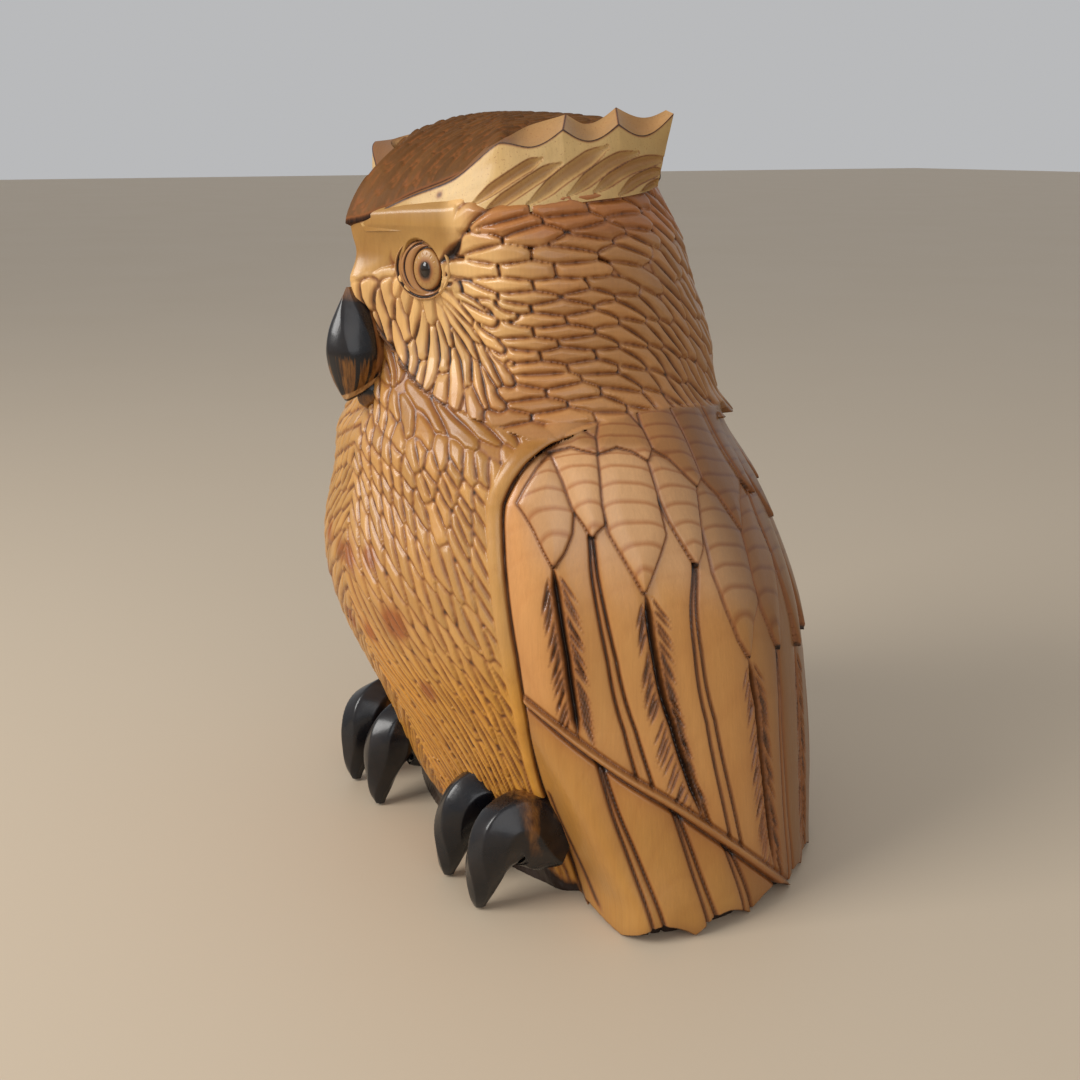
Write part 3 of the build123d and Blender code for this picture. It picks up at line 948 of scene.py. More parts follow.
def closed_tube(name, rings, layers=None, crease=None, mirrored=False):
    """A mesh object through equal rings of points, (rings, points, 3), closed at its ends."""
    rings = np.asarray(rings, float)
    n, m = rings.shape[:2]
    index = np.arange(n * m).reshape(n, m)
    after = np.roll(index, -1, axis=1)
    quads = np.stack([index[:-1], after[:-1], after[1:], index[1:]], axis=-1).reshape(-1, 4)
    foot = np.stack([np.full(m, n * m), after[0], index[0]], axis=-1)
    head = np.stack([index[-1], after[-1], np.full(m, n * m + 1)], axis=-1)
    tris = np.concatenate([foot, head])
    if mirrored:
        quads, tris = quads[:, ::-1], tris[:, ::-1]
    verts = with_caps(rings, (rings[0].mean(0), rings[-1].mean(0)))
    return build_mesh(name, verts, quads, tris, layers, crease=crease)


def side_name(side):
    return "left" if side > 0 else "right"


def grid_normals(points):
    """Smooth normals of a closed-round grid of points (rows, columns, 3)."""
    across = np.roll(points, -1, axis=1) - np.roll(points, 1, axis=1)
    up = np.empty_like(points)
    up[1:-1] = points[2:] - points[:-2]
    up[0] = points[1] - points[0]
    up[-1] = points[-1] - points[-2]
    normal = np.cross(across, up)
    return normal / np.linalg.norm(normal, axis=-1, keepdims=True)


# ------------------------------------------------------------------ body pieces
def join_seams(left, right):
    """Eases both halves of a field to their mean at the front and back seams."""
    width = 1.6
    left, right = left.copy(), right.copy()
    extra = (1,) * (left.ndim - 2)
    for column, distance in ((0, ANGLES), (-1, 180 - ANGLES)):
        weight = smooth01(1 - distance / width).reshape((1, -1) + extra)
        mean = (left[:, column] + right[:, column]) / 2
        left += weight * (mean - left[:, column])[:, None]
        right += weight * (mean - right[:, column])[:, None]
    return left, right


def full_turn(left, right):
    """One field round the whole block: the left half, then the mirrored right half."""
    left, right = join_seams(left, right)
    return np.concatenate([left, right[:, COLUMNS - 1:0:-1]], axis=1)


def body_labels(wing_side, below_strip):
    """Which piece, by its label in BODY_PIECES, each cell of a half belongs to."""
    U, V = np.meshgrid(ANGLES[:-1], HEIGHTS[:-1])
    side, strip = wing_side[:-1, :-1], below_strip[:-1, :-1]
    labels = np.where(V > BELLY_TOP, 0, 1)
    labels = np.where((side > 0) & (V < WING_TOP), 2, labels)
    labels = np.where((labels == 2) & (U > TAIL_EDGE) & (V < MANTLE_FOOT), 3, labels)
    labels = np.where((labels == 2) & (U > MANTLE_EDGE) & (V >= MANTLE_FOOT), 4, labels)
    labels = np.where((labels == 2) & (strip > 0), 5, labels)
    head = (labels == 0) & ((V > FOLD) | (U > 60))
    return np.where(head, np.where(U < FACE_EDGE, 6, 7), labels)


def cut_piece(name, cells, points, normals, layers):
    """A closed piece of the block: its carved skin and a fan to the block's axis."""
    rows, columns = points.shape[:2]
    i, j = np.nonzero(cells)
    right = (j + 1) % columns
    quads = np.stack([i * columns + j, i * columns + right,
                      (i + 1) * columns + right, (i + 1) * columns + j], axis=-1)
    edges = np.concatenate([quads[:, [corner, (corner + 1) % 4]] for corner in range(4)])
    code = edges[:, 0].astype(np.int64) * rows * columns + edges[:, 1]
    back = edges[:, 1].astype(np.int64) * rows * columns + edges[:, 0]
    rim = edges[~np.isin(code, back)]
    used, compact = np.unique(quads, return_inverse=True)
    lookup = np.full(rows * columns, -1)
    lookup[used] = np.arange(len(used))
    apex_z = HEIGHTS[i.min()]
    apex = np.array([[0, axis_y(apex_z), apex_z]])
    fan = np.stack([lookup[rim[:, 1]], lookup[rim[:, 0]], np.full(len(rim), len(used))], axis=-1)
    verts = np.concatenate([points.reshape(-1, 3)[used], apex])
    pick = {key: np.concatenate([data.reshape((rows * columns,) + data.shape[2:])[used],
                                 data[:1, 0]]) for key, data in layers.items()}
    normal = np.concatenate([normals.reshape(-1, 3)[used], [[0, 0, 1]]])
    return build_mesh(name, verts, compact.reshape(-1, 4), fan, pick, normal)


SKIN = 2.3      # mm that the uncarved surface lies inside the CAD solids, so feathers fit in
# Where the pieces of the body are cut apart: heights in mm and azimuths in degrees
BELLY_TOP = 110
WING_TOP = 216
MANTLE_FOOT = 165
TAIL_EDGE = 141
MANTLE_EDGE = 112
FACE_EDGE = 62
BODY_PIECES = [
    # name, label, side (0 both, 1 left, -1 right), nodes
    ("breast", 0, 0, ("torso",)), ("belly", 1, 0, ("torso",)),
    ("wing_left_carved", 2, 1, ("wing_left",)), ("wing_right_carved", 2, -1, ("wing_right",)),
    ("tail_left_half", 3, 1, ("tail",)), ("tail_right_half", 3, -1, ("tail",)),
    ("mantle_carved", 4, 0, ("mantle",)),
    ("flank_left_carved", 5, 1, ("flank_left",)), ("flank_right_carved", 5, -1, ("flank_right",)),
    ("face", 6, 0, ("head",)), ("head_left", 7, 1, ("head",)), ("head_right", 7, -1, ("head",)),
]


def hollow_share(height, reach, full):
    """How far the surface lies below its surroundings, 0 to 1."""
    return np.clip((blur(height, reach, reach) - height) / full, 0, 1)


def make_body(material):
    core, coat = block_radii()
    halves = []
    for seed in (11, 29):
        chart, radius, wing_side, below_strip = carve_half(seed, core, coat)
        rng = np.random.default_rng(seed + 100)
        # Painted shade: hollows are darkened where the carving lies below its surroundings; the halo
        # adds the real brown spread of scorch round the wing's cuts
        shade = np.maximum(hollow_share(chart.H, 9, 2.2), 0.8 * hollow_share(chart.H, 3, 0.9))
        halo = 1.5 * blur(chart.burn, 5, 4) * smooth01(wing_side / 2)
        shade = np.clip(np.maximum(shade, halo), 0, 1)
        colour = zone_colour(chart, wing_side, below_strip, rng)
        labels = body_labels(wing_side, below_strip)
        burn = blur(chart.burn, 1, 1, 1)
        halves.append((radius - SKIN, burn, shade, chart.tone, chart.grain, colour, labels))
    fields = [full_turn(left, right) for left, right in zip(halves[0][:6], halves[1][:6])]
    radius, burn, shade, tone, grain, colour = fields
    labels = np.concatenate([halves[0][6], halves[1][6][:, ::-1]], axis=1)
    turn = np.radians(np.arange(2 * COLUMNS) * 180 / COLUMNS)
    z = HEIGHTS[:, None] + 0 * turn
    points = np.stack([radius * np.sin(turn), axis_y(z) - radius * np.cos(turn), z], axis=-1)
    low, high = (np.array(corner) / MM for corner in cad_box)
    points = np.clip(points, low + 0.05, high - 0.05)
    normals = grid_normals(points)
    layers = {"scorch": burn, "shade": shade, "tone": tone, "grain": grain, "zone": colour}
    side = np.where(np.arange(2 * COLUMNS) < COLUMNS, 1, -1)
    for name, label, wanted, nodes in BODY_PIECES:
        cells = (labels == label) & ((wanted == 0) | (side == wanted))
        piece = cut_piece(name, cells, points, normals, layers)
        finish_piece(piece, material, "carved_wood", *nodes)


# ------------------------------------------------------------------ crown and brow crests
CROWN_RIM = [(0, -101, 285), (8, -95, 287), (15, -88, 291), (23, -81.5, 296), (35, -71, 302),
             (45.5, -62, 308.5), (49, -56, 314.5), (45.5, -48, 317.5), (45, -35, 320.5),
             (46, -20, 322.5), (47, -5, 324.5), (47.5, 8, 323), (46.5, 14, 317), (41.5, 22, 309.5),
             (32, 31.5, 303), (18, 38.5, 299.5), (0, 40.5, 298)]
CROWN_CENTRE = (0, -27)
CROWN_PEAK = 329.6
CREST_STATIONS = [
    # lower edge, scalloped outer lip, scalloped top edge
    [(6, -95, 282), (5, -97, 286), (3, -93, 290)],
    [(22.6, -85, 283), (23, -82.5, 296), (18, -78, 301)],
    [(39.5, -75, 284.5), (38, -70, 303), (30, -64, 311)],
    [(54, -64, 288), (52, -57.5, 316.6), (46, -53, 318)],
    [(62, -50, 291), (57, -45, 319.5), (44, -40, 324)],
    [(65, -35, 293.5), (58.5, -33, 321.5), (48, -25.5, 327.3)],
    [(65.5, -21, 295), (59.5, -21, 322), (48.5, -15, 329.3)],
    [(64.5, -8, 296), (59.5, -8, 323.5), (49.5, -3, 330.2)],
    [(61.5, 4, 297.5), (58.5, 5.5, 324.5), (50.5, 9, 329.8)],
    [(57, 13, 299.3), (57, 20, 327.8), (52, 19.5, 329.3)],
]
# Bites between crest points: first and last station, drop of the lip, drop of the top
BITES = [(3, 5, 4.2, 1.0), (5, 7, 4.6, 5.5), (7, 9, 5.0, 3.5)]
CREST_GOUGES = [
    ([(54, 7.5), (64, 12.5), (74, 17.5), (81, 19.5)], 2.7),
    ([(60, 2.5), (70, 8), (80, 13), (90, 15.8)], 2.9),
    ([(77, 3), (88, 9.5), (100, 15), (112, 19.8)], 3.3),
    ([(93, 3.5), (104, 9.5), (115, 14), (127, 15.8)], 2.9),
    ([(104, 3.2), (115, 8.5), (128, 11.4), (146, 11)], 2.7),
    ([(116, 1), (125, 5), (135, 6.5), (146, 6)], 2.3),
    ([(128, 0), (137, 1.6), (147, 1.8)], 1.8),
]


def carve_crown():
    """Short gouge strokes that run from front to back and part a little to the sides."""
    chart = Chart(np.arange(-60, 60.1, 0.5), np.arange(-106, 56.1, 0.5), 1.0, 5)
    way = lambda u, v: 90 - 0.4 * u
    inside = lambda u, v: (abs(u) < 54) & (v > -104) & (v < 44)
    spacing = lambda u, v: 2.7
    lines = lay_lanes(chart, (0, -30), way, inside, spacing)
    chart.tessellate(seeds_on(chart, lines, lambda u, v: 13, spacing, 0.27), 0.0, 0.25, 0.6)
    chart.score_edges(0.5, 0.45, 0.42)
    return chart


def make_crown(material):
    """The capped top of the head: a low scored dome that hangs over its rim."""
    rim = catmull(CROWN_RIM, 8)
    rim = np.concatenate([rim, rim[-2:0:-1] * (-1, 1, 1)])
    cx, cy = CROWN_CENTRE
    angle = np.unwrap(np.arctan2(rim[:, 0] - cx, cy - rim[:, 1]))
    turns = circle(420)
    reach = np.hypot(rim[:, 0] - cx, rim[:, 1] - cy)
    reach = np.interp(turns, angle, reach, period=2 * np.pi)
    rim_z = np.interp(turns, angle, rim[:, 2], period=2 * np.pi)
    rho = np.sin(np.linspace(0.0, 1.0, 150) * np.pi / 2)[:, None]
    x = cx + rho * reach * np.sin(turns)
    y = cy - rho * reach * np.cos(turns)
    z = rim_z + (CROWN_PEAK - rim_z) * (1 - rho ** 2) ** 0.62
    chart = carve_crown()
    sample = lambda field: sample_chart(chart, field, x, y)
    dig = (sample(chart.H) - 0.9) * smooth01((1 - rho) / 0.03)
    rings = np.stack([x, y, z + np.clip(dig, -1.6, 0)], axis=-1)
    below = rings[-1] * (0.9, 0.9, 1) + (0, cy * 0.1, -3.5)
    base = rings[-1] * (0.6, 0.6, 0) + (0, cy * 0.4, 289)
    points = np.concatenate([rings[1:], below[None], base[None]])[::-1]
    rim_line = bell((1 - rho) * reach / 0.35)
    burn = np.maximum(0.85 * rim_line, sample(chart.burn))
    shade = np.clip(sample(hollow_share(chart.H, 4, 0.8)), 0, 1)
    tone = np.clip(1.8 * sample(chart.tone) - 0.4, 0, 1)
    front = smooth01((-70 - points[..., 1]) / 25)
    zone = paint(np.zeros_like(points) + CROWN_BROWN, 0.5 * front, CROWN_FRONT)
    layers = {"zone": with_caps(zone)}
    for key, field, under, cap in (("scorch", burn, 0.3, 0.0), ("shade", shade, 0.0, 0.5),
                                   ("tone", tone, 0.5, 0.5)):
        padded = np.concatenate([field[1:], np.full((2, len(turns)), under)])[::-1]
        layers[key] = with_caps(padded, (cap, cap))
    obj = closed_tube("crown_carved", points, layers, crease=60)
    finish_piece(obj, material, "crown_wood", "crown")


def sample_chart(chart, field, u, v):
    """Bilinear values of a chart field at points."""
    fu = (np.clip(u, chart.u[0], chart.u[-1] - 1e-6) - chart.u[0]) / (chart.u[1] - chart.u[0])
    fv = (np.clip(v, chart.v[0], chart.v[-1] - 1e-6) - chart.v[0]) / (chart.v[1] - chart.v[0])
    j, i = fu.astype(int), fv.astype(int)
    j, i = np.minimum(j, len(chart.u) - 2), np.minimum(i, len(chart.v) - 2)
    a, b = fu - j, fv - i
    return ((field[i, j] * (1 - a) + field[i, j + 1] * a) * (1 - b)
            + (field[i + 1, j] * (1 - a) + field[i + 1, j + 1] * a) * b)


def bite_depth(share, first, last):
    """How deep each place along the crest lies in one bite, 0 to 1."""
    return np.sin(np.pi * np.clip((share - first) / (last - first), 0, 1))


def crest_rails(side, count):
    """The crest's lower edge, outer lip and top edge, with the bites taken out."""
    stations = np.array(CREST_STATIONS, float)
    last_station = len(stations) - 1
    share = np.linspace(0, last_station, count)
    dense = np.linspace(0, last_station, last_station * 10 + 1)
    lower, lip, top = (np.array([np.interp(share, dense, axis) for axis in catmull(rail, 10).T]).T
                       for rail in stations.transpose(1, 0, 2))
    for first, last, lip_drop, top_drop in BITES:
        bite = bite_depth(share, first, last)
        lip[:, 2] -= lip_drop * bite
        top[:, 2] -= top_drop * bite
    if side < 0:
        # The right crest stands a little proud at the front and lower behind
        top = top - np.array([0, 0, 1.6]) * smooth01((share - 4) / 2)[:, None]
        front = bell((share - 2.9) / 0.6)[:, None]
        lip = lip + front * (6, -5, 0.5)
        top = top + front * (4, -4, 0)
    return share, lower, lip, top


def carve_crest(side, length):
    """The gouged face of a crest, developed along its middle line."""
    chart = Chart(np.arange(-2, length + 4, 0.4), np.arange(-3, 34, 0.4), 1.0, 40 + side)
    for points, width in CREST_GOUGES:
        chart.gouge(points, width, 2.2)
    knot = np.hypot(chart.U - 36, chart.V - 13.5)
    chart.char(0.8 * bell(knot / 1.5))
    chart.wave(0.08, 6, 8)
    return chart


def make_crest(side, material):
    """One brow crest: a pale gouged face, a bitten top and a plain inner wall."""
    count = 420
    share, lower, lip, top = crest_rails(side, count)
    steps = np.linalg.norm(np.diff((lower + lip) / 2, axis=0), axis=1)
    length = np.concatenate([[0], np.cumsum(steps)])
    face_height = np.linalg.norm(lip - lower, axis=1)
    chart = carve_crest(side, length[-1])
    none, plain = np.zeros(count), np.zeros((count, 3))
    pale = paint(plain + CREST_PALE, smooth01((share - 5.5) / 2.5), CREST_REAR)
    bare_top = np.interp(length, [0, 14, 32, 41, 50, 54], [3, 7.5, 7.5, 10.6, 8, 0])
    rows = []       # points, relief, scorch, shade and colour of each line along the crest
    for v in np.linspace(0, 1, 72):
        mm = v * face_height
        dig = sample_chart(chart, chart.H, length, mm)
        dig = dig * smooth01(v / 0.04) * smooth01((1 - v) / 0.06)
        burn = np.maximum(sample_chart(chart, chart.burn, length, mm),
                          0.9 * bell((face_height - mm) / 0.8))
        yellow = smooth01((bare_top - mm) / 1.5) * (length < 54)
        rows.append((lower + (lip - lower) * v, dig, burn, np.clip(-dig / 1.9, 0, 1),
                     paint(pale, yellow, FOREHEAD)))
    bite = np.max([bite_depth(share, *ends[:2]) for ends in BITES], axis=0)
    cusp = np.max([bell((share - ends[0]) / 0.045) for ends in BITES[1:]], axis=0)
    # Painted shade: the top of the crest's front part takes the darker brown of the crown's front
    scoop_shaded_front = paint(plain + SCOOP_BROWN, smooth01((3.7 - share) / 0.6), CROWN_FRONT)
    for v in np.linspace(0, 1, 32)[1:]:
        arch = np.sin(np.pi * v)
        burn = np.maximum(0.8 * cusp, 0.9 * bell(v * 14 / 0.9))
        rows.append((lip + (top - lip) * v, -2.2 * bite * arch ** 0.8, burn, 0.25 * bite * arch, scoop_shaded_front))
    for drop in (2.0, 8.0, 16.0):
        rows.append((top - np.array([2 + 0.10 * drop, 0, drop]), none, none, none, plain + SCOOP_BROWN))
    tuck = lower + (np.array([0, axis_y(290), 290]) - lower) * 0.14
    rows.append((tuck, none, 0.6 * smooth01((share - 2.6) / 0.8), none, plain + CREST_REAR))
    points, relief, burn, shade, zone = (np.stack(part, axis=1) for part in zip(*rows))
    normal = np.cross(np.gradient(points, axis=0), np.gradient(points, axis=1))
    normal /= np.linalg.norm(normal, axis=-1, keepdims=True) + 1e-9
    points = (points + normal * relief[..., None]) * (side, 1, 1)
    tone = np.clip(0.5 + blur(chart.rng.normal(size=relief.shape), 6, 4) * 1.5, 0, 1)
    layers = {"scorch": with_caps(burn), "shade": with_caps(shade), "zone": with_caps(zone),
              "tone": with_caps(tone, (0.5, 0.5))}
    name = f"brow_crest_{side_name(side)}"
    obj = closed_tube(name + "_carved", points, layers, 55, mirrored=side > 0)
    finish_piece(obj, material, "crest_wood", name)


# ------------------------------------------------------------------ eyes
EYE_SHIFT = -3.2          # centre of the scribed ring from the pupil, towards the beak
EYE_SIZE = (13.4, 12.3)
IRIS_SIZE = (6.4, 8.2)
PUPIL_SIZE = (2.7, 3.6)
EYE_TURN = np.radians(30)
EYE_RINGS = [
    # centre, half sizes, first and last angle, then width, depth, scorch and taper of the cut
    ((0, 0), (12.2, 11.3), -30, 335, 0.75, 1.0, 1.0, 0.04),
    ((1.2, 0.3), (9.4, 9.8), 18, 248, 0.6, 0.8, 1.0, 0.15),
    ((0.4, 0.1), (10.8, 11.0), 105, 172, 0.35, 0.5, 0.8, 0.3),
    ((0.6, 0.1), (10.4, 10.6), 186, 232, 0.35, 0.5, 0.8, 0.3),
    ((-EYE_SHIFT, 0), (6.8, 8.6), 0, 360, 0.7, 0.9, 1.0, 0),
]


def ellipse(centre, size, start, end):
    angle = np.radians(np.linspace(start, end, 40))
    return np.array(centre) + np.stack([np.cos(angle), np.sin(angle)], axis=-1) * size


def eye_relief():
    """The eye's chart in its own plane: rings, lids and the raised iris."""
    grid = np.arange(-13.5, 13.51, 0.12)
    chart = Chart(grid, grid, 1.0, 77)
    u, v = chart.U, chart.V
    rim = np.hypot(u / EYE_SIZE[0], v / EYE_SIZE[1])
    iris = np.hypot((u + EYE_SHIFT) / IRIS_SIZE[0], v / IRIS_SIZE[1])
    chart.H = 0.5 * (1 - rim ** 2) - 0.7 * bell((rim - 0.83) / 0.09)
    chart.H += 1.5 * np.sqrt(np.clip(1 - iris ** 2, 0, 1)) - 0.6 * bell((iris - 1.12) / 0.12)
    for centre, size, start, end, width, depth, burn, taper in EYE_RINGS:
        chart.cut(ellipse(centre, size, start, end), width, depth, burn, taper, smooth=False)
    smudge = np.exp(-(np.hypot((u + EYE_SHIFT) / 3.6, (v + 0.4) / 4.6)) ** 4)
    chart.char(0.95 * smudge)
    for angle in np.radians(np.arange(10, 370, 24)):
        way = np.array((np.cos(angle), np.sin(angle)))
        start = way * (4.0, 5.0) - (EYE_SHIFT, 0)
        end = way * (5.6, 7.2) - (EYE_SHIFT, 0)
        chart.cut([start, (start + end) / 2, end], 0.25, 0.15, burn=0.3, taper=0.4)
    return chart


def eye_frame(side):
    """Seat of an eye and the directions across, up and out of it, in mm."""
    low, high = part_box("pupil_left")
    out = np.array((np.sin(EYE_TURN), -np.cos(EYE_TURN), 0))
    across = np.array((np.cos(EYE_TURN), np.sin(EYE_TURN), 0))
    seat = np.array((low + high) / 2) / MM + out * 0.7
    mirror = np.array((side, 1, 1))
    return seat * mirror, across * mirror, np.array((0, 0, 1.0)), out * mirror


def make_eye(side, material):
    """The carved disc of an eye, sunk into the head by a short wall."""
    chart = eye_relief()
    seat, across, up, out = eye_frame(side)
    turns = circle(260)
    rho = np.append(np.linspace(0.0, 1.0, 120)[1:], [1.0, 0.97])[:, None]
    drop = np.append(np.zeros(119), [0.8, 5.0])[:, None] + 0.5 * smooth01((rho - 0.97) / 0.03)
    u = rho * EYE_SIZE[0] * np.cos(turns)
    v = rho * EYE_SIZE[1] * np.sin(turns)
    sample = lambda field: sample_chart(chart, field, u, v)
    height = sample(chart.H) - drop
    points = (seat + across * EYE_SHIFT
              + u[..., None] * across + v[..., None] * up + height[..., None] * out)
    iris = np.hypot((u + EYE_SHIFT) / IRIS_SIZE[0], v / IRIS_SIZE[1])
    rim = np.hypot(u / EYE_SIZE[0], v / EYE_SIZE[1])
    zone = paint(np.zeros_like(points) + EYE_BROWN, smooth01((1.05 - iris) / 0.1), IRIS_TAN)
    zone = paint(zone, smooth01((rim - 0.86) / 0.05), CHEEK)
    layers = {"scorch": with_caps(sample(chart.burn)), "zone": with_caps(zone),
              "shade": with_caps(sample(hollow_share(chart.H, 7, 0.7))),
              "tone": with_caps(np.full(u.shape, 0.5))}
    name = f"eye_{side_name(side)}"
    disc = closed_tube(name + "_carved", points, layers, mirrored=side < 0)
    finish_piece(disc, material, "eye_wood", name)


def make_pupil(side, material):
    """A glossy domed bead in the middle of the iris."""
    seat, across, up, out = eye_frame(side)
    turns = circle(65)
    round_bead = (np.outer(np.cos(turns), across) * PUPIL_SIZE[0]
                  + np.outer(np.sin(turns), up) * PUPIL_SIZE[1])
    rings = [seat + round_bead * np.sin(polar) + out * (1.0 + 1.6 * np.cos(polar))
             for polar in np.linspace(0, 0.5 * np.pi, 28)[1:]]
    rings.append(rings[-1] - out * 3.0)
    name = f"pupil_{side_name(side)}"
    bead = closed_tube(name + "_bead", rings, mirrored=side < 0)
    finish_piece(bead, material, "pupil_gloss", name)


# ------------------------------------------------------------------ beak and talons
# Height, half width, front y, rear y
BEAK_SECTIONS = [
    (259.5, 0.5, -101.8, -97), (256, 2.0, -103.8, -93), (250, 4.8, -106.8, -89),
    (242, 7.9, -110.2, -86), (234, 9.7, -111.7, -85), (227, 9.5, -111.0, -86),
    (221, 7.8, -109.2, -89), (217, 5.7, -107.3, -93), (213.8, 3.2, -105.4, -99),
    (212.3, 1.2, -104.2, -102.4),
]
JAW_SECTIONS = [
    (219, 7.0, -97.5, -78), (215.5, 6.6, -98.8, -78), (212, 5.4, -98.6, -80),
    (209.5, 3.8, -96.8, -84), (208, 2.0, -94.5, -88),
]
# y, z, half height, half width
TALON_PATH = [
    (-42, 30, 19, 12), (-52, 32.5, 18.8, 12.2), (-61, 35, 17.6, 12.2), (-68.5, 33.5, 15.4, 11.4),
    (-74.3, 26, 12.4, 9.6), (-77.6, 16.5, 8.8, 7.2), (-79.2, 7.5, 5.4, 4.6), (-79.4, 1.4, 2.6, 2.3),
]


FACETS = 7


def facets(turns, along, rng, amount):
    """Slightly flattened knife facets round a tube."""
    phase = rng.uniform(0, 2 * np.pi)
    drift = 0.6 * np.sin(along[:, None] * 2.1 + phase)
    share = (turns + drift + phase) * FACETS / (2 * np.pi) % 1 - 0.5
    return -amount * (1 - 4 * share * share)


def make_horn(name, node, material, points, scorch, zone, crease, rng):
    """A burnt horn through rings of points, with an uneven tone."""
    noise = blur(rng.normal(size=scorch.shape), 3, 3)
    tone = np.clip(0.5 + noise * 2, 0, 1)
    layers = {"scorch": with_caps(scorch), "shade": with_caps(np.zeros_like(scorch)),
              "tone": with_caps(tone, (0.5, 0.5)), "zone": with_caps(zone)}
    finish_piece(closed_tube(name, points, layers, crease), material, "scorched_wood", node)


def beak_rings(sections, turns, ridge, rng, steps):
    """Rings through the sections from the lowest up, keeled in front and faceted."""
    rows = catmull(sections, steps)
    cut = facets(turns, np.linspace(0, 2, len(rows)), rng, 0.2)
    ahead, aside = np.cos(turns), np.sin(turns)
    keel = np.sign(aside) * np.abs(aside) ** np.where(ahead > 0, ridge, 1.0)
    rings = []
    for (z, half, front, rear), dent in zip(rows, cut):
        middle, depth = (front + rear) / 2, (rear - front) / 2
        x = half * keel + dent * aside
        y = middle - (depth + dent) * ahead
        rings.append(np.stack([x, y, np.full_like(x, z)], axis=-1))
    return np.array(rings)[::-1]


def make_beak(material):
    """The hooked upper beak, charred above its streaked lip, and the jaw behind it."""
    turns = circle(160)
    rng = np.random.default_rng(8)
    upper = beak_rings(BEAK_SECTIONS, turns, 1.15, rng, 14)
    streak = blur(rng.normal(size=(1, 160)).repeat(3, 0), 0, 1, 1)[0]
    streak = streak / streak.std()
    depth, height = upper[..., 1], upper[..., 2]
    black = smooth01((height - 229.5 - 2.2 * streak) / 5)
    below = 216.5 + 0.55 * (depth + 104) - height
    mouth = smooth01(below - 2.8)
    lip = smooth01(below) - mouth
    dark = np.clip(0.5 + 0.5 * streak, 0, 1) * (1 - lip) + mouth
    cere = smooth01((depth + 94.5 + 0.5 * streak) / 2.5) * smooth01((height - 222) / 4)
    scorch = np.clip(np.maximum(black, dark), 0, 1) * (1 - 0.9 * cere)
    scorch = scorch * (1 - 0.7 * smooth01((height - 251) / 6))
    zone = paint(paint(np.zeros_like(upper) + BURNT_BROWN, lip, LIP_TAN), cere, CERE_BROWN)
    make_horn("beak_upper_horn", "beak_upper", material, upper, scorch, zone, 70, rng)
    lower = beak_rings(JAW_SECTIONS, turns, 1.1, rng, 10)
    # The jaw is scorched all over; the darker top, under the upper beak, is painted shade
    scorch = 0.25 + 0.7 * smooth01((lower[..., 2] - 213.5) / 3)
    zone = np.zeros_like(lower) + BURNT_BROWN
    make_horn("beak_lower_horn", "beak_lower", material, lower, scorch, zone, 70, rng)


def make_talon(node, material, seed):
    """A hooked claw that leaves the belly, arches forward and stands on its tip."""
    rng = np.random.default_rng(seed)
    low, high = (np.array(corner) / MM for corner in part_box(node))
    centre = (low[0] + high[0]) / 2
    side = np.sign(centre)
    path = catmull(TALON_PATH, 14)
    way = np.gradient(path[:, :2], axis=0)
    way /= np.linalg.norm(way, axis=1, keepdims=True)
    turns = circle(96)
    along = np.linspace(0, 1, len(path))
    cut = facets(turns, along * 3, rng, 0.8)
    rings = []
    for (y, z, tall, half), (dy, dz), t, dent in zip(path, way, along, cut):
        across = (half + dent * half / 12) * np.sin(turns)
        back = (tall + dent * tall / 12) * np.cos(turns)
        x = centre + across - side * 3.0 * t * t
        rings.append(np.stack([x, y - back * dz, z + back * dy], axis=-1))
    rings = np.array(rings)
    rings[..., 2] = np.maximum(rings[..., 2], 0.05)
    root = smooth01((0.42 - along) / 0.2)[:, None] * smooth01(0.9 - np.cos(turns))
    patch = blur(rng.normal(size=rings.shape[:2]), 5, 6)
    patch = patch / patch.std()
    scorch = np.clip(1 - root * smooth01(0.5 + 0.5 * patch), 0.0, 1)
    zone = np.zeros_like(rings) + BURNT_BROWN
    make_horn(node + "_horn", node, material, rings, scorch, zone, 75, rng)


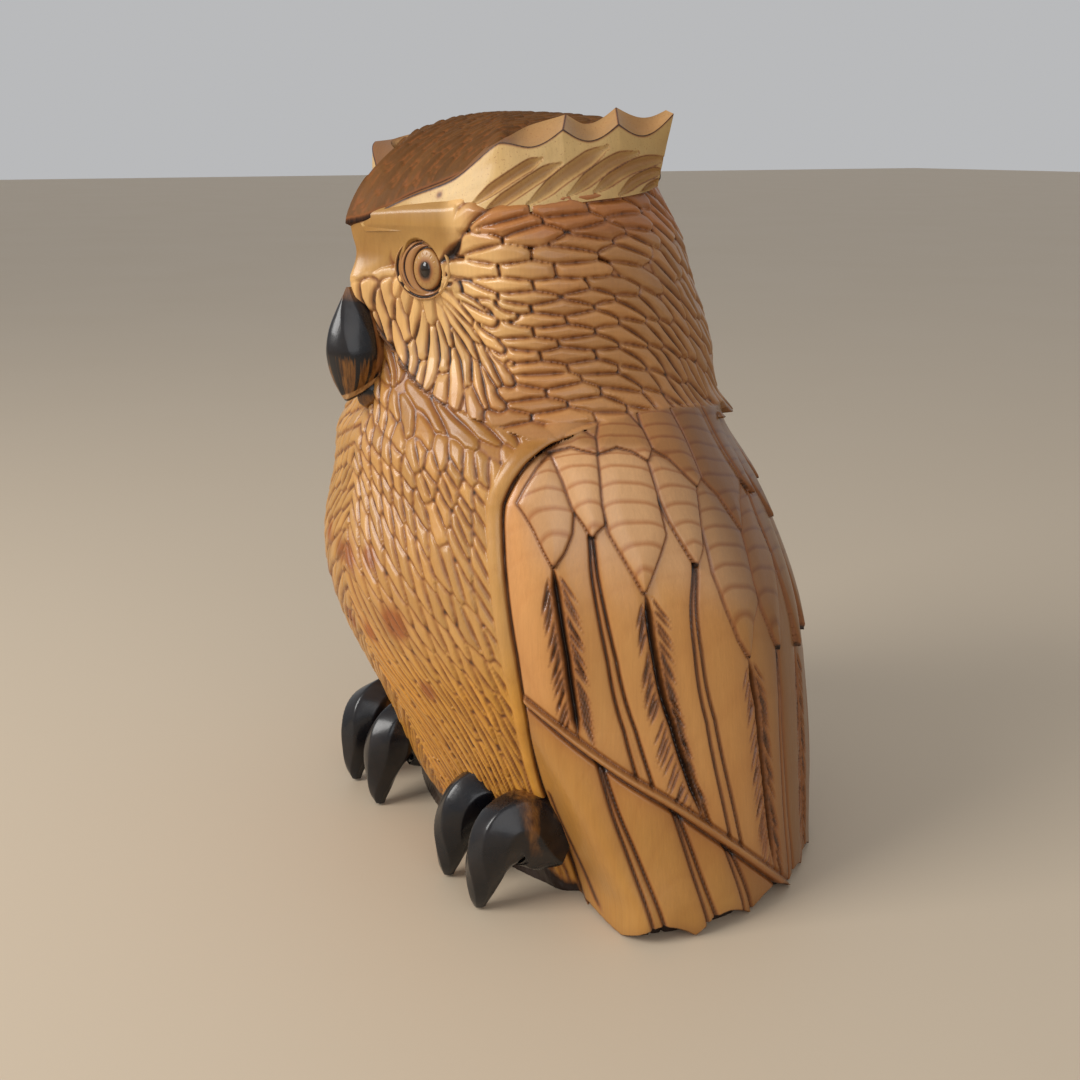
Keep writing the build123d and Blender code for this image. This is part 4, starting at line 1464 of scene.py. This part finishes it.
# ------------------------------------------------------------------ materials
class Shader:
    """A node material being written."""

    def __init__(self, name):
        self.material = bpy.data.materials.new(name)
        self.material.use_nodes = True
        self.tree = self.material.node_tree
        self.surface = self.tree.nodes["Principled BSDF"]

    def node(self, kind, inputs=None, **settings):
        made = self.tree.nodes.new("ShaderNode" + kind)
        for key, value in settings.items():
            setattr(made, key, value)
        for key, value in (inputs or {}).items():
            self.feed(made.inputs[key], value)
        return made

    def feed(self, socket, value):
        if isinstance(value, bpy.types.NodeSocket):
            self.tree.links.new(value, socket)
        else:
            socket.default_value = value

    def math(self, operation, *values, clamp=False):
        inputs = dict(enumerate(values))
        return self.node("Math", inputs, operation=operation, use_clamp=clamp).outputs[0]

    def times(self, a, b):
        return self.math("MULTIPLY", a, b)

    def affine(self, value, gain, offset):
        return self.math("MULTIPLY_ADD", value, gain, offset)

    def mix(self, share, a, b, blend="MIX"):
        made = self.node("Mix", data_type="RGBA", blend_type=blend)
        for socket, value in zip((made.inputs[0], made.inputs[6], made.inputs[7]), (share, a, b)):
            self.feed(socket, value)
        return made.outputs[2]

    def tint(self, colour, factor):
        return self.mix(1.0, colour, factor, "MULTIPLY")

    def layer(self, name, output="Fac"):
        return self.node("Attribute", attribute_name=name).outputs[output]

    def ramp(self, value, stops):
        made = self.node("ValToRGB", {0: value})
        elements = made.color_ramp.elements
        while len(elements) < len(stops):
            elements.new(0.5)
        for element, (position, grey) in zip(elements, stops):
            element.position = position
            element.color = (grey, grey, grey, 1)
        return made.outputs[0]

    def noise(self, vector, scale, detail=3.0, rough=0.5):
        inputs = {"Vector": vector, "Scale": scale, "Detail": detail, "Roughness": rough}
        return self.node("TexNoise", inputs).outputs[0]

    def space(self, scale=(1, 1, 1), shift=(0, 0, 0)):
        where = self.node("TexCoord").outputs["Object"]
        return self.node("Mapping", {"Vector": where, "Location": shift, "Scale": scale}).outputs[0]

    def bump(self, height, strength, distance):
        made = self.node("Bump", {"Strength": strength, "Distance": distance, "Height": height})
        self.feed(self.surface.inputs["Normal"], made.outputs[0])

    def finish(self, colour, roughness, coat=0.0, coat_roughness=0.03, specular=0.5):
        """Feeds the surface; what is the same all over is set on the shader's own sockets."""
        inputs = self.surface.inputs
        self.feed(inputs["Base Color"], colour)
        self.feed(inputs["Roughness"], roughness)
        inputs["Coat Weight"].default_value = coat
        inputs["Coat Roughness"].default_value = coat_roughness
        inputs["Specular IOR Level"].default_value = specular
        return self.material


def wood_material(name, rings=0.85, fibre=0.12, roughness=0.38, coat=0.35, shade=0.75, speckle=0.0):
    """Lacquered wood: growth rings round the log's pith, fibres, stain, painted shade in the hollows
    and scorched cuts.
    """
    s = Shader(name)
    along = s.space((1, 1, 0.10), (0.004, 0.006, 0))
    growth = s.node("TexWave", {"Vector": along, "Scale": 88.0, "Distortion": 5.0, "Detail": 2.5,
                                "Detail Scale": 0.14, "Detail Roughness": 0.45},
                    wave_type="RINGS", rings_direction="Z", wave_profile="SAW").outputs[0]
    late = s.ramp(growth, [(0.0, 0.0), (0.66, 0.0), (0.88, 1.0), (1.0, 0.25)])
    fibres = s.noise(s.space((1, 1, 0.035)), 900.0, 4.0, 0.65)
    pores = s.noise(s.space((1, 1, 0.05)), 2600.0, 2.0, 0.6)
    cloud = s.noise(s.space((1, 1, 0.5)), 26.0, 3.0, 0.55)
    # The zone's colour, varied from feather to feather and along the fibres
    bright = s.affine(s.layer("tone"), 0.24, 0.88)
    bright = s.times(bright, s.affine(fibres, 2 * fibre, 1 - fibre))
    bright = s.times(bright, s.affine(pores, fibre, 1 - fibre / 2))
    level = s.node("CombineColor", {0: bright, 1: bright, 2: bright}).outputs[0]
    colour = s.tint(s.layer("zone", "Color"), level)
    warm = s.times(s.ramp(cloud, [(0.35, 0.0), (0.75, 1.0)]), 0.55)
    colour = s.mix(warm, colour, s.tint(colour, (0.86, 0.70, 0.52, 1)))
    ringed = s.times(late, s.times(s.layer("grain"), rings))
    colour = s.mix(ringed, colour, s.tint(colour, (0.66, 0.46, 0.30, 1)))
    if speckle:
        dots = s.ramp(s.noise(s.space(), 1500.0, 1.0, 0.5), [(0.66, 0.0), (0.72, 1.0)])
        colour = s.mix(s.times(dots, speckle), colour, STAIN_AND_SHADE_BROWN)
    # Painted shade darkens the hollows towards brown; on the wing the shade layer also carries the real
    # brown spread of scorch round the cuts
    hollow = s.math("MULTIPLY", s.layer("shade"), s.affine(cloud, 0.8, 0.6), clamp=True)
    colour = s.mix(s.times(hollow, shade), colour, s.mix(0.72, colour, STAIN_AND_SHADE_BROWN))
    # Cuts are scorched, brown at their ragged edge and black within
    ragged = s.affine(s.math("SUBTRACT", fibres, 0.5), 0.35, s.layer("scorch"))
    colour = s.mix(s.times(s.ramp(ragged, [(0.06, 0.0), (0.5, 1.0)]), 0.78), colour, STAIN_AND_SHADE_BROWN)
    charred = s.ramp(ragged, [(0.42, 0.0), (0.86, 1.0)])
    colour = s.mix(charred, colour, CHAR)
    gloss = s.affine(charred, 0.08, s.affine(fibres, 0.16, roughness - 0.08))
    marks = s.noise(s.space((1, 1, 0.4)), 240.0, 2.0, 0.5)
    s.bump(s.affine(late, -0.25, s.affine(fibres, 0.5, marks)), 0.35, 0.0004)
    return s.finish(colour, gloss, coat, 0.2, 0.32 if coat > 0.1 else 0.12)


def horn_material():
    """Wood charred to a polished blue-black, with brown left showing in streaks."""
    s = Shader("scorched_gloss")
    grain = s.noise(s.space((1, 1, 0.15)), 420.0, 4.0, 0.6)
    cloud = s.noise(s.space(), 70.0, 3.0, 0.55)
    base = s.layer("zone", "Color")
    dim = s.tint(base, (0.45, 0.38, 0.32, 1))
    amber = s.mix(s.ramp(grain, [(0.35, 0.0), (0.65, 1.0)]), base, dim)
    black = s.mix(s.ramp(cloud, [(0.4, 0.0), (0.7, 1.0)]),
                  (0.004, 0.004, 0.006, 1), (0.014, 0.010, 0.009, 1))
    ragged = s.affine(s.math("SUBTRACT", grain, 0.5), 0.55, s.layer("scorch"))
    colour = s.mix(s.ramp(ragged, [(0.22, 0.0), (0.72, 1.0)]), amber, black)
    s.bump(s.affine(grain, 0.35, s.noise(s.space(), 160.0, 3.0, 0.5)), 0.35, 0.0006)
    return s.finish(colour, s.affine(cloud, 0.22, 0.18), 0.3, 0.12, 0.35)


def bead_material():
    """The glossy black pupil, brown-black in places."""
    s = Shader("pupil_black")
    cloud = s.noise(s.space(), 500.0, 2.0, 0.5)
    colour = s.mix(cloud, (0.006, 0.004, 0.003, 1), (0.020, 0.011, 0.006, 1))
    return s.finish(colour, s.affine(cloud, 0.06, 0.06), 0.5, 0.04, 0.3)


def floor_material():
    s = Shader("pale_floor")
    cloud = s.noise(s.space(), 3.0, 3.0, 0.5)
    colour = s.mix(s.times(cloud, 0.3), (0.56, 0.46, 0.34, 1), (0.53, 0.43, 0.31, 1))
    return s.finish(colour, s.affine(cloud, 0.1, 0.5))


# ------------------------------------------------------------------ stage, light and camera
AIM = Vector((-4.3, -7.6, 135.9)) * MM
VIEW_TURN = 60.5        # degrees round from straight ahead, towards the owl's left
VIEW_PITCH = 16.5
VIEW_DISTANCE = 638.7 * MM


def place(name, data, turn, pitch, distance):
    """Puts a camera or light round the owl, facing it; the angles are in degrees."""
    turn, pitch = np.radians(turn), np.radians(pitch)
    away = Vector((np.sin(turn) * np.cos(pitch), -np.cos(turn) * np.cos(pitch), np.sin(pitch)))
    obj = bpy.data.objects.new(name, data)
    obj.location = AIM + away * distance
    obj.rotation_euler = away.to_track_quat("Z", "Y").to_euler()
    bpy.context.scene.collection.objects.link(obj)
    return obj


def make_camera():
    data = bpy.data.cameras.new("camera")
    data.lens = 44.93
    data.sensor_width = 36
    data.clip_start = 0.01
    bpy.context.scene.camera = place("camera", data, VIEW_TURN, VIEW_PITCH, VIEW_DISTANCE)


def make_light(name, turn, pitch, distance, size, power, tint):
    """A square soft light."""
    data = bpy.data.lights.new(name, "AREA")
    data.size = size
    data.energy = power
    data.color = tint
    place(name, data, turn, pitch, distance)


def make_stage():
    world = bpy.data.worlds.new("studio")
    world.use_nodes = True
    background = world.node_tree.nodes["Background"]
    background.inputs[0].default_value = (0.97, 0.98, 1.0, 1)
    background.inputs[1].default_value = 0.5
    bpy.context.scene.world = world
    bpy.context.scene.view_settings.view_transform = "Standard"
    make_light("key", -2, 33, 1.6, 0.8, 20, (1.0, 0.98, 0.95))
    make_light("fill", 75, 25, 2.2, 1.4, 9, (0.97, 0.98, 1.0))
    half = 12.0
    corners = [(-half, -half, 0), (half, -half, 0), (half, half, 0), (-half, half, 0)]
    floor = build_mesh("floor", np.array(corners) / MM, [[0, 1, 2, 3]])
    floor.data.materials.append(floor_material())


# ------------------------------------------------------------------ everything together
make_camera()
make_stage()
carved = wood_material("carved_wood")
make_body(carved)
make_crown(wood_material("crown_wood", rings=0.0, fibre=0.22, roughness=0.65, coat=0.02, shade=0.6))
crest_wood = wood_material("crest_wood", rings=0.0, roughness=0.48, coat=0.15, shade=0.8, speckle=0.5)
horn = horn_material()
bead = bead_material()
for side in (1, -1):
    make_crest(side, crest_wood)
    make_eye(side, carved)
    make_pupil(side, bead)
make_beak(horn)
for number, toe in enumerate(("left_inner", "left_outer", "right_inner", "right_outer")):
    make_talon("talon_" + toe, horn, 60 + number)

bpy.context.view_layer.update()
